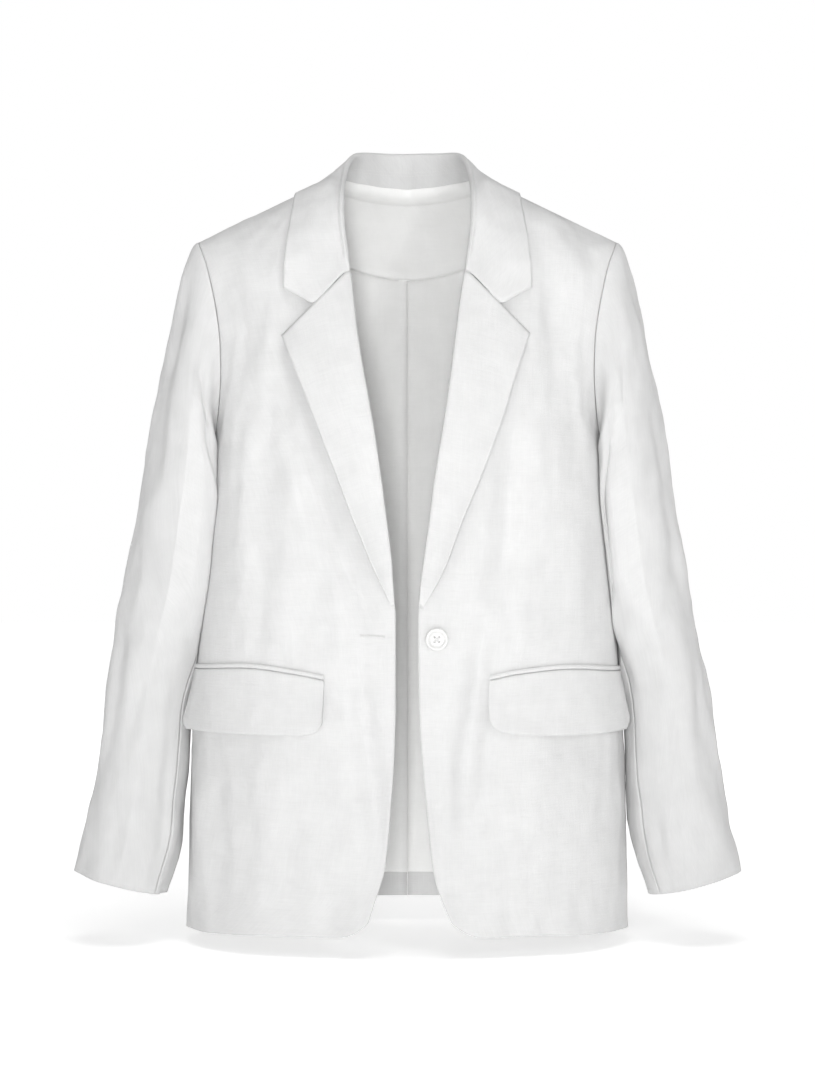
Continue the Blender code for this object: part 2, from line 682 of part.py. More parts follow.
def edge_normals(ring, centre):
    """Normals of the sleeve's first ring, square to the way that it leaves the armhole."""
    leaving = np.array([sleeve_leave(math.radians(SLEEVE_ANGLE * i)) for i in range(len(ring))])
    around = np.roll(ring, -1, axis=0) - np.roll(ring, 1, axis=0)
    found = np.cross(leaving, around)
    found /= np.linalg.norm(found, axis=1, keepdims=True)
    flip = np.sign(np.sum(found * (ring - centre)))
    return found * flip


def ring_normals(grid, centre):
    """Unit normals of a grid that closes on itself, pointing away from its centre."""
    along = np.gradient(grid, axis=0)
    across = np.roll(grid, -1, axis=1) - np.roll(grid, 1, axis=1)
    found = np.cross(across, along)
    found /= np.linalg.norm(found, axis=2, keepdims=True)
    flip = np.sign(np.sum(found * (grid - centre)))
    return found * flip


# ---- lapels and collar ---------------------------------------------------------
def edge_point(side, z):
    """Point of the front's own edge, on the straight between its corners."""
    column = front_grid(side)[:, 0]
    return np.array([np.interp(z, column[:, 2], column[:, i]) for i in range(3)])


def lapel_line(side, w):
    """Roll line point and free edge point of a lapel, x and z, at a share of its length."""
    roll_z = blend(LAPEL_BREAK, GORGE[1], w)
    roll = np.array([edge_point(side, roll_z)[0], roll_z])
    edge = LAPEL_EDGE[side]
    free_z = blend(edge[0].z, edge[-1].z, w)
    free = np.array([interpolate(edge, "z", "x", free_z), free_z])
    return roll, free


def lapel_row(side, w):
    """Face points of a lapel from behind the roll line to the free edge."""
    roll, free = lapel_line(side, w)
    row = []
    x, y, z = edge_point(side, roll[1])
    for point in LAPEL_ROLL:
        row.append((x + point.across, y - point.lift, z))
    for c in range(LAPEL_COLUMNS + 1):
        share = 0.02 + 0.98 * c / LAPEL_COLUMNS
        x, z = blend(roll, free, share)
        bloom = LAPEL_BLOOM * math.sin(math.pi * min(w, 1.0)) * share ** 2
        lift = LAPEL_LIFT * (0.85 + 0.15 * min(share * 4, 1.0)) + bloom
        row.append((x, torso_y(x, z, FRONT, side) - lift, z))
    return row


def build_lapel(side):
    """Turned-back lapel, from the break to the gorge seam."""
    grid = np.array([lapel_row(side, r / LAPEL_ROWS) for r in range(LAPEL_ROWS + 1)])
    inner = lapel_inner(grid)
    wall(f"lapel_{side_name(side)}", mirrored(grid, side), mirrored(inner, side), LINEN)


def lapel_inner(grid):
    """Underside of a lapel, its own wall behind the face."""
    away = np.zeros_like(grid)
    away[..., 1] = FRONT
    return grid - normals(grid, away) * CLOTH


def collar_end(side):
    """The collar's end: over the roll, along the gorge seam, then to its point."""
    row = [np.array(p) for p in lapel_row(side, 1.0)]
    lift = np.array([0.72, 0.0, 0.70]) * (SEAM + STAND_SEAM)
    start = [p + lift for p in row[:3]]
    notch = on_front(NOTCH, LAPEL_LIFT, side) + lift
    point = on_front(COLLAR_POINT, LAPEL_LIFT, side)
    rolled = row[3] + lift
    fall = [blend(rolled, notch, t) for t in (0.0, 0.5)]
    fall += [blend(notch, point, t) for t in (0.0, 0.5, 1.0)]
    fall = [on_front((p[0], p[2]), LAPEL_LIFT, side) if i else p for i, p in enumerate(fall)]
    return [start[0], blend(start[0], start[1], 0.5)] + start[1:] + fall


def on_front(place_xz, lift, side):
    """Point over the front at a place and a lift."""
    x, z = place_xz
    return np.array([x, torso_y(x, z, FRONT, side) - lift, z])


def neck_point(side, p):
    """Point of the neckline: p counts its corners from the centre back."""
    back = back_grid(side)[-1, :NECK_COLUMNS + 1]
    front = front_grid(side)[::-1, 0][1:ARMHOLE_STEPS]
    path = np.concatenate([back, front])
    return np.array([np.interp(p, np.arange(len(path)), path[:, i]) for i in range(3)])


def collar_section(fold, edge, rise, neck):
    """Face points of one section: up the stand, over the fold, down the fall."""
    up = unit(np.array([0.0, -(1 - rise), rise]))
    out = edge - fold
    out = unit(out - up * float(np.dot(out, up)))
    foot = neck - out * (CLOTH + STAND_SEAM) + up * (SEAM + STAND_SEAM * rise)
    inside = fold - out * FOLD_RADIUS - up * FOLD_RADIUS
    outside = fold + out * FOLD_RADIUS - up * FOLD_RADIUS * 0.8
    elbow = blend(outside, edge, 0.35) - up * 0.35 * float(np.dot(outside - edge, up))
    fall = []
    for k in range(1, FALL_STEPS + 1):
        t = k / FALL_STEPS
        p = (1 - t) ** 2 * outside + 2 * (1 - t) * t * elbow + t * t * edge
        fall.append(clear_of_body(p, LAPEL_LIFT, LEFT))
    return np.array([foot, blend(foot, inside, 0.5), inside, fold, outside] + fall)


def collar_half(side):
    """Face points of half the collar, columns from the centre back to the notch."""
    names = NeckStation._fields
    table = np.array([[getattr(row, name) for name in names] for row in COLLAR])
    columns = []
    for step in range((len(COLLAR) - 1) * COLLAR_STEPS + 1):
        p = step / COLLAR_STEPS
        row = [catmull(table[:, j], p, j in (0, 3)) for j in range(len(names))]
        columns.append(collar_section(np.array(row[:3]), np.array(row[3:6]), row[6],
                                      neck_point(side, p)))
    columns.append(np.array(collar_end(side)))
    return np.array(columns)


def catmull(values, at, odd):
    """Smooth curve through evenly spaced values, mirrored at the centre back."""
    i = int(min(at, len(values) - 2))
    t = at - i
    before = values[i - 1] if i else (-values[1] if odd else values[1])
    after = values[i + 2] if i + 2 < len(values) else 2 * values[i + 1] - values[i]
    a, b = values[i], values[i + 1]
    return 0.5 * (2 * a + (b - before) * t + (2 * before - 5 * a + 4 * b - after) * t * t
                  + (3 * a - before - 3 * b + after) * t**3)


def build_collar():
    """Stand, fold and fall in one, round the back neck from notch to notch."""
    right = mirrored(collar_half(RIGHT), RIGHT)
    left = mirrored(collar_half(LEFT), LEFT)
    grid = np.concatenate([right[:0:-1], left])
    wall("collar", grid, grid - collar_normals(grid) * CLOTH, LINEN)


def collar_normals(grid):
    """Unit normals on the collar's face: towards the neck inside, out on the fall."""
    along = np.gradient(grid, axis=0)
    across = np.gradient(grid, axis=1)
    found = np.cross(along, across)
    found /= np.linalg.norm(found, axis=2, keepdims=True)
    middle = len(grid) // 2
    if found[middle, 1, 1] > 0:
        found = -found
    return found


# ---- pockets and button --------------------------------------------------------
def pocket_columns(side):
    """Places across a pocket, closer together at both ends for the rounded corners."""
    rows = FLAP[side]
    wide = half_width(rows[1].seam_z, FRONT)
    shares = [0.5 - 0.5 * math.cos(math.pi * i / FLAP_COLUMNS) for i in range(FLAP_COLUMNS + 1)]
    return ring_columns(rows[0].x, rows[-1].x, wide, shares)


def flap_low(side, x):
    """Lower edge of a flap, with its rounded corners."""
    rows = FLAP[side]
    low = interpolate(rows, "x", "low_z", x)
    nearest = min(x - rows[0].x, (rows[-1].x - x) * 2.5)
    inside = min(max(nearest / FLAP_CORNER, 0.0), 1.0)
    return low + FLAP_CORNER * (1 - math.sqrt(1 - (1 - inside) ** 2))


def lifted(x, z, lift, side):
    """Point off the front along its own normal."""
    step = 0.001
    inner_x = min(x, half_width(z, FRONT) - 2 * step)
    y = torso_y(x, z, FRONT, side)
    slope_x = (torso_y(inner_x + step, z, FRONT, side)
               - torso_y(inner_x - step, z, FRONT, side)) / (2 * step)
    away = unit(np.array([slope_x, -1.0, 0.0]))
    return np.array([x, y, z]) + away * lift


def build_flap(side):
    """Pocket flap that hangs from the welt and stands a little proud below."""
    outer, inner = [], []
    for x in pocket_columns(side):
        top = interpolate(FLAP[side], "x", "seam_z", x) - SEAM
        low = flap_low(side, x)
        heights = np.linspace(low, top, FLAP_ROWS + 1)
        under, face = [], []
        for k, z in enumerate(heights):
            lift = FLAP_LIFT + FLAP_BLOOM * (1 - k / FLAP_ROWS) ** 1.3
            under.append(lifted(x, z, lift, side))
            face.append(lifted(x, z, lift + FLAP_WALL, side))
        inner.append(under)
        outer.append(face)
    outer = mirrored(np.array(outer), side)
    inner = mirrored(np.array(inner), side)
    wall(f"pocket_flap_{side_name(side)}", outer, inner, LINEN)


def build_welt(side):
    """Narrow piping along the top of the pocket mouth."""
    outer, inner = [], []
    for x in pocket_columns(side):
        low = interpolate(FLAP[side], "x", "seam_z", x)
        heights = np.linspace(low, low + WELT_HEIGHT, len(WELT_CROWN))
        outer.append([lifted(x, z, FLAP_LIFT + c, side) for z, c in zip(heights, WELT_CROWN)])
        inner.append([lifted(x, z, FLAP_LIFT, side) for z in heights])
    outer = mirrored(np.array(outer), side)
    inner = mirrored(np.array(inner), side)
    wall(f"pocket_welt_{side_name(side)}", outer, inner, LINEN)


def build_button():
    """Four-hole button with a raised rim, flat on the wearer's left front."""
    x, z = BUTTON_PLACE
    points, faces = [], []
    for ring in BUTTON:
        for k in range(BUTTON_SIDES):
            angle = 2 * math.pi * k / BUTTON_SIDES
            across, along = math.cos(angle), math.sin(angle)
            points.append((ring.radius * across, ring.radius * along, ring.height))
    for r in range(len(BUTTON) - 1):
        for k in range(BUTTON_SIDES):
            first = r * BUTTON_SIDES + k
            beside = r * BUTTON_SIDES + (k + 1) % BUTTON_SIDES
            faces.append((first, beside, beside + BUTTON_SIDES, first + BUTTON_SIDES))
    last = (len(BUTTON) - 1) * BUTTON_SIDES
    faces.append(tuple(range(BUTTON_SIDES - 1, -1, -1)))
    faces.append(tuple(range(last, last + BUTTON_SIDES)))
    button = make_object("button", points, faces, HORN)
    seat = lifted(x, z, LAYER, LEFT)
    facing = unit(lifted(x, z, 0.01, LEFT) - seat)
    turn = math.atan2(facing[0], -facing[1])
    button.rotation_euler = (math.radians(90), 0.0, turn)
    button.location = seat
    cut_holes(button)


def cut_holes(button):
    """Four thread holes through the button, cut by one hidden cutter."""
    points, faces = [], []
    sides = THREAD_HOLE_SIDES
    past = BUTTON_HOLE_RADIUS
    top = max(ring.height for ring in BUTTON) + past
    for right, up in ((1, 1), (1, -1), (-1, 1), (-1, -1)):
        base = len(points)
        for height in (-past, top):
            for k in range(sides):
                angle = 2 * math.pi * k / sides
                across = right * BUTTON_HOLE_OFFSET + BUTTON_HOLE_RADIUS * math.cos(angle)
                along = up * BUTTON_HOLE_OFFSET + BUTTON_HOLE_RADIUS * math.sin(angle)
                points.append((across, along, height))
        for k in range(sides):
            first, beside = base + k, base + (k + 1) % sides
            faces.append((first, beside, beside + sides, first + sides))
        faces.append(tuple(range(base + sides - 1, base - 1, -1)))
        faces.append(tuple(range(base + sides, base + 2 * sides)))
    cutter = make_object("button_hole_cutter", points, faces, HORN)
    cutter.parent = button
    cutter.hide_render = True
    cutter.display_type = "WIRE"
    holes = button.modifiers.new("thread_holes", "BOOLEAN")
    holes.operation = "DIFFERENCE"
    holes.object = cutter


def build():
    """The whole blazer."""
    for thing in list(bpy.data.objects):
        bpy.data.objects.remove(thing, do_unlink=True)
    for side in (LEFT, RIGHT):
        build_front(side)
        build_back(side)
        build_sleeve(side)
        build_lapel(side)
        build_lining(side)
        build_flap(side)
        build_welt(side)
    build_facing()
    build_collar()
    build_button()


build()
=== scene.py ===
"""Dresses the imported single-breasted blazer: linen, lining, sewing, button and studio.

Metres, +Z up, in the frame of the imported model.  The garment is hollow and filled out:
its cloth pieces are thin walls on the same form as their solids, cut at the same seams.
"""
from __future__ import annotations

import logging
import math
from dataclasses import dataclass, field
from enum import Enum
from functools import lru_cache

import bmesh
import bpy
import numpy as np
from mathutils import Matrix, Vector, noise

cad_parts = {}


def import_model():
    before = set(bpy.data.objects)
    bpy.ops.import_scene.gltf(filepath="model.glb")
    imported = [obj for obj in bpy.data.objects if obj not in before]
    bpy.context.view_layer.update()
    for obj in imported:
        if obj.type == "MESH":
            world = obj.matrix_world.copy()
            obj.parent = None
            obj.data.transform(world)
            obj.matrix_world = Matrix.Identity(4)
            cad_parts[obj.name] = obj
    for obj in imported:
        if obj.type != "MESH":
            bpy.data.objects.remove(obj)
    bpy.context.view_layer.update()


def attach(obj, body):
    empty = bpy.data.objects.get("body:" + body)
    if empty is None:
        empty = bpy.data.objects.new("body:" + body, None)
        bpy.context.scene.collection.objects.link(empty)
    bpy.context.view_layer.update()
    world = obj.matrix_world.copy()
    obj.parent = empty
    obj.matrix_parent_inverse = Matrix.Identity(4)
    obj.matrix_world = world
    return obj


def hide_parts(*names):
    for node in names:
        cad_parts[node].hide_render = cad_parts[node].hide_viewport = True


LOG = logging.getLogger("blazer")
BODY = "root"

CLOTH = 0.002               # wall of the shell pieces
LINING = 0.0012             # wall of the lining and the back neck facing
SEAM = 0.0003               # gap between neighbouring pieces
LAYER = 0.0005              # gap between a piece and the one that lies on it
SEWN = 0.0001               # gap that shows between two pieces at their seam
TURN_IN = 0.0002            # rounding of a free edge
EDGE = 0.00006              # rounding of an edge that is sewn to another piece
FADE = 0.022                # distance over which small waves die out at a seam
BODY_ROWS = 14              # bands of rows from the hem to the armpit
ARMHOLE_ROWS = 10           # bands of rows from the armpit to the shoulder
ROW_STEPS = 8               # rows of points in each band
COLUMN_STEPS = 5            # columns of points in each band

Grid = np.ndarray
Path = np.ndarray
Array = np.ndarray
Values = float | Array
Socket = bpy.types.NodeSocket


class Side(Enum):
    """The wearer's side of the garment; the value is the sign of its x."""

    LEFT = 1
    RIGHT = -1

    @property
    def word(self) -> str:
        """Word for the side in a piece's name."""
        return self.name.lower()

    def place(self, grid: Grid) -> Grid:
        """Points drawn on the wearer's left, or their mirror image on the right."""
        return grid * np.array([self.value, 1.0, 1.0])


class Face(Enum):
    """Front or back of the torso; the value is the sign of its y."""

    FRONT = -1
    BACK = 1


def blend(a: Values, b: Values, t: Values) -> Values:
    """Straight mix of two numbers or arrays."""
    return a + (b - a) * t


def unit(vectors: Array) -> Array:
    """Vectors of length one, along the last axis."""
    return vectors / np.linalg.norm(vectors, axis=-1, keepdims=True)


def ease(share: Array) -> Array:
    """Soft step from 0 to 1 as a share goes from 0 to 1."""
    t = np.clip(share, 0.0, 1.0)
    return t * t * (3 - 2 * t)


def arc_lengths(points: Grid, axis: int = 0) -> Array:
    """Distance along each line of a grid from its first point.

    Args:
        points: Grid or path of points.
        axis: Axis along which the lines run.

    Returns:
        Distances with the shape of the grid, without its last axis.
    """
    steps = np.linalg.norm(np.diff(points, axis=axis), axis=-1)
    total = np.cumsum(steps, axis=axis)
    start = np.zeros_like(np.take(total, [0], axis=axis))
    return np.concatenate([start, total], axis=axis)


@dataclass(frozen=True)
class Curve:
    """Smooth line through a short table of places and values, with no overshoot."""

    keys: tuple[float, ...]
    values: tuple[float, ...]

    @classmethod
    def of(cls, *pairs: tuple[float, float]) -> Curve:
        """Curve through pairs of a place and a value, in any order."""
        keys, values = zip(*sorted(pairs))
        return cls(tuple(keys), tuple(values))

    @property
    def slopes(self) -> Array:
        """Slope at each point: the harmonic mean of its neighbours, or 0 at a turn.

        Returns:
            One slope for each key.
        """
        rises = np.diff(self.values) / np.diff(self.keys)
        before, after = rises[:-1], rises[1:]
        same = before * after > 0
        total = np.where(same, before + after, 1.0)
        inner = np.where(same, 2 * before * after / total, 0.0)
        return np.concatenate([rises[:1], inner, rises[-1:]])

    def __call__(self, at: Array | float) -> Array:
        """Value of the curve.

        Args:
            at: Places to read it at; past either end it keeps its last value.

        Returns:
            Array of values, one for each place.
        """
        keys, values = np.array(self.keys), np.array(self.values)
        at = np.clip(at, keys[0], keys[-1])
        i = np.clip(np.searchsorted(keys, at) - 1, 0, len(keys) - 2)
        step = keys[i + 1] - keys[i]
        t = (at - keys[i]) / step
        slope = self.slopes
        return ((2 * t**3 - 3 * t**2 + 1) * values[i] + (t**3 - 2 * t**2 + t) * step * slope[i]
                + (3 * t**2 - 2 * t**3) * values[i + 1] + (t**3 - t**2) * step * slope[i + 1])


def smooth_path(points: Path, stops: Array) -> Path:
    """Smooth line through points, read at fractional places between them.

    Args:
        points: The points that the line goes through.
        stops: Places along it, where 2.5 is half way from point 2 to point 3.

    Returns:
        One point for each stop.
    """
    arcs = arc_lengths(points)
    at = np.interp(stops, np.arange(len(points)), arcs)
    return np.stack([Curve(tuple(arcs), tuple(points[:, k]))(at) for k in range(3)], axis=-1)


def spread(counts: tuple[int, ...]) -> Array:
    """Fractional stops that split each interval into its own number of steps."""
    stops = [i + np.arange(count) / count for i, count in enumerate(counts)]
    return np.concatenate(stops + [np.array([float(len(counts))])])


def smooth_grid(grid: Grid, row_stops: Array, column_stops: Array) -> Grid:
    """Finer grid through the points of a coarse one.

    Args:
        grid: Coarse grid of points.
        row_stops: Fractional places along its first axis.
        column_stops: Fractional places along its second axis.

    Returns:
        Grid with a row for each row stop and a column for each column stop.
    """
    across = np.array([smooth_path(row, column_stops) for row in grid])
    lines = [smooth_path(across[:, c], row_stops) for c in range(across.shape[1])]
    return np.stack(lines, axis=1)


@dataclass(frozen=True)
class Crease:
    """Soft trough between two places on the unrolled cloth; a ridge if its depth is below 0."""

    start: tuple[float, float]
    end: tuple[float, float]
    width: float
    depth: float

    def sink(self, across: Array, along: Array) -> Array:
        """How far the crease pushes the cloth in.

        Args:
            across: Places across the cloth.
            along: Places along it.

        Returns:
            Depths, one for each place.
        """
        a, b = np.array(self.start), np.array(self.end)
        run = b - a
        length = float(np.hypot(*run))
        t = ((across - a[0]) * run[0] + (along - a[1]) * run[1]) / length**2
        off = ((across - a[0]) * run[1] - (along - a[1]) * run[0]) / length
        return self.depth * np.exp(-(2 * t - 1) ** 4) * np.exp(-(off / self.width) ** 2)


def creases(*rows: tuple[float, ...]) -> tuple[Crease, ...]:
    """Creases from rows of both ends' places across and along, a width and a depth."""
    return tuple(Crease(row[:2], row[2:4], *row[4:]) for row in rows)


def sink_of(folds: tuple[Crease, ...], across: Array, along: Array) -> Array:
    """Sum of the depths of several creases at places on the cloth."""
    total = np.zeros(np.broadcast(across, along).shape)
    for fold in folds:
        total = total + fold.sink(across, along)
    return total


@dataclass(frozen=True)
class Pucker:
    """Uneven soft waves of the cloth, from smooth noise read in space."""

    across: float
    along: float
    height: float
    seed: float

    def lift(self, points: Grid) -> Array:
        """How far the cloth stands out at each point of a grid."""
        scale = np.array([self.across, self.across, self.along])
        places = points.reshape(-1, 3) / scale + self.seed
        values = [noise.noise(Vector(place)) for place in places]
        return self.height * np.array(values).reshape(points.shape[:-1])


BODY_PUCKERS = (Pucker(0.036, 0.12, 0.0038, 3.7), Pucker(0.015, 0.036, 0.0013, 9.1),
                Pucker(0.009, 0.013, 0.0004, 4.9))
SLEEVE_PUCKERS = (Pucker(0.03, 0.085, 0.0042, 5.3), Pucker(0.014, 0.028, 0.0014, 1.9),
                  Pucker(0.009, 0.012, 0.0004, 6.1))
SMALL_PUCKERS = (Pucker(0.022, 0.04, 0.0013, 7.7), Pucker(0.01, 0.014, 0.0004, 2.3))


def waves(points: Grid, puckers: tuple[Pucker, ...], side: Side) -> Array:
    """Height of the cloth's uneven waves at points that are drawn on the wearer's left."""
    return sum(pucker.lift(side.place(points)) for pucker in puckers)


def puckered(points: Grid, normals: Grid, puckers: tuple[Pucker, ...], fade: Array,
             side: Side = Side.LEFT) -> Grid:
    """Grid with the cloth's uneven waves.

    Args:
        points: Smooth grid.
        normals: Its unit normals.
        puckers: Layers of noise.
        fade: Share of the waves that each point keeps, 0 on a seam.
        side: Wearer's side that the grid goes to, so that the sides differ.

    Returns:
        The grid, moved along its normals.
    """
    return points + normals * (waves(points, puckers, side) * fade)[..., None]


def fade_from(points: Grid, borders: str, reach: float = 0.018) -> Array:
    """Share from 0 on the named borders of a grid to 1 away from them.

    Args:
        points: The grid.
        borders: Any of the words first_row, last_row, first_column and last_column.
        reach: Distance over which the share rises.

    Returns:
        Shares, one for each point.
    """
    along, across = arc_lengths(points, 0), arc_lengths(points, 1)
    distance = {
        "first_row": along, "last_row": along[-1:] - along,
        "first_column": across, "last_column": across[:, -1:] - across,
    }
    share = np.ones(points.shape[:2])
    for border in borders.split():
        share = share * ease(distance[border] / reach)
    return share


def grid_normals(grid: Grid, away: Array) -> Grid:
    """Unit normals of a grid.

    Args:
        grid: The points.
        away: A direction that the normals lean to, on the whole.

    Returns:
        Normals, one for each point.
    """
    found = unit(np.cross(np.gradient(grid, axis=1), np.gradient(grid, axis=0)))
    return found * np.sign(np.sum(found * away))


TORSO_HALF_WIDTH = Curve.of(
    (-0.721, 0.2125), (-0.6876, 0.212), (-0.6226, 0.2115), (-0.547, 0.2076),
    (-0.477, 0.204), (-0.428, 0.201), (-0.367, 0.195), (-0.311, 0.19),
    (-0.268, 0.187))
TORSO_DEPTH = {
    Face.FRONT: Curve.of(
        (-0.721, 0.131), (-0.6876, 0.131), (-0.6226, 0.1305), (-0.547, 0.1295),
        (-0.477, 0.129), (-0.428, 0.1285), (-0.367, 0.128), (-0.311, 0.1275),
        (-0.268, 0.125), (-0.2, 0.113), (-0.15, 0.097), (-0.0965, 0.077),
        (-0.05, 0.064), (0.04, 0.055)),
    Face.BACK: Curve.of(
        (-0.721, 0.118), (-0.6876, 0.117), (-0.6226, 0.1145), (-0.547, 0.11),
        (-0.477, 0.105), (-0.428, 0.102), (-0.367, 0.103), (-0.311, 0.108),
        (-0.268, 0.112), (-0.2, 0.114), (-0.15, 0.11), (-0.0965, 0.101),
        (-0.05, 0.092), (0.04, 0.083)),
}
ARMHOLE_X = Curve.of(
    (-0.268, 0.187), (-0.245, 0.183), (-0.22, 0.1795), (-0.19, 0.1775),
    (-0.165, 0.178), (-0.138, 0.181), (-0.112, 0.186), (-0.085, 0.193),
    (-0.066, 0.2005), (-0.0616, 0.2022))
FRONT_EDGE = {
    Side.LEFT: Curve.of(
        (-0.7046, 0.0404), (-0.6917, 0.0303), (-0.6798, 0.0243), (-0.6577, 0.0207),
        (-0.5962, 0.0147), (-0.5466, 0.011), (-0.4437, 0.0096), (-0.4097, 0.0129),
        (-0.3592, 0.0202), (-0.2949, 0.0276), (-0.2441, 0.0359), (-0.1929, 0.0434),
        (-0.1373, 0.0504), (-0.0976, 0.0565), (-0.05, 0.0655), (-0.02, 0.0713),
        (0.0000, 0.0747)),
    Side.RIGHT: Curve.of(
        (-0.7018, 0.0358), (-0.6844, 0.0276), (-0.6697, 0.0211), (-0.65, 0.0184),
        (-0.621, 0.0161), (-0.5714, 0.0124), (-0.5218, 0.011), (-0.4308, 0.011),
        (-0.4097, 0.0138), (-0.35, 0.0202), (-0.258, 0.0322), (-0.1548, 0.05),
        (-0.0976, 0.0565), (-0.05, 0.0655), (-0.02, 0.0713), (0.0000, 0.0747)),
}
BODY_CREASES = {
    (Face.FRONT, Side.LEFT): creases(
        (0.143, -0.09, 0.16, -0.31, 0.014, 0.006), (0.128, -0.085, 0.136, -0.21, 0.01, 0.004),
        (0.1, -0.24, 0.083, -0.42, 0.012, 0.01), (0.07, -0.425, 0.05, -0.61, 0.011, 0.01),
        (0.092, -0.68, 0.102, -0.73, 0.009, 0.004), (0.126, -0.69, 0.129, -0.73, 0.008, 0.0025),
        (0.118, -0.548, 0.13, -0.562, 0.006, 0.0012), (0.15, -0.545, 0.142, -0.7, 0.016, 0.0025),
        (0.178, -0.33, 0.172, -0.45, 0.01, 0.0022), (0.036, -0.54, 0.042, -0.7, 0.012, -0.0016),
        (0.17, -0.215, 0.184, -0.262, 0.008, 0.0022),
    ),
    (Face.FRONT, Side.RIGHT): creases(
        (0.13, -0.24, 0.134, -0.4, 0.016, 0.0066), (0.106, -0.26, 0.036, -0.425, 0.011, 0.0085),
        (0.047, -0.45, 0.028, -0.63, 0.011, 0.0085), (0.178, -0.55, 0.176, -0.72, 0.014, 0.0045),
        (0.172, -0.08, 0.166, -0.15, 0.013, 0.004),
        (0.066, -0.415, 0.043, -0.525, 0.011, -0.0026),
        (0.123, -0.452, 0.109, -0.466, 0.003, 0.0014),
        (0.1, -0.56, 0.108, -0.715, 0.016, 0.0028), (0.154, -0.15, 0.148, -0.25, 0.012, 0.0026),
        (0.158, -0.29, 0.176, -0.33, 0.008, 0.002), (0.068, -0.66, 0.074, -0.725, 0.01, 0.0022),
    ),
    (Face.BACK, Side.LEFT): creases(
        (0.12, -0.18, 0.128, -0.42, 0.018, 0.0045), (0.07, -0.48, 0.08, -0.72, 0.02, 0.004),
        (0.15, -0.12, 0.14, -0.22, 0.012, 0.003), (0.158, -0.47, 0.15, -0.7, 0.014, 0.0032),
        (0.04, -0.04, 0.11, -0.07, 0.009, 0.0016), (0.03, -0.36, 0.15, -0.41, 0.01, 0.0016),
    ),
    (Face.BACK, Side.RIGHT): creases(
        (0.126, -0.2, 0.13, -0.4, 0.018, 0.0045), (0.076, -0.5, 0.084, -0.72, 0.02, 0.004),
        (0.154, -0.13, 0.146, -0.21, 0.011, 0.0026), (0.16, -0.44, 0.154, -0.64, 0.013, 0.0034),
        (0.044, -0.05, 0.098, -0.066, 0.009, 0.0014),
        (0.026, -0.385, 0.14, -0.372, 0.01, 0.0018),
    ),
}


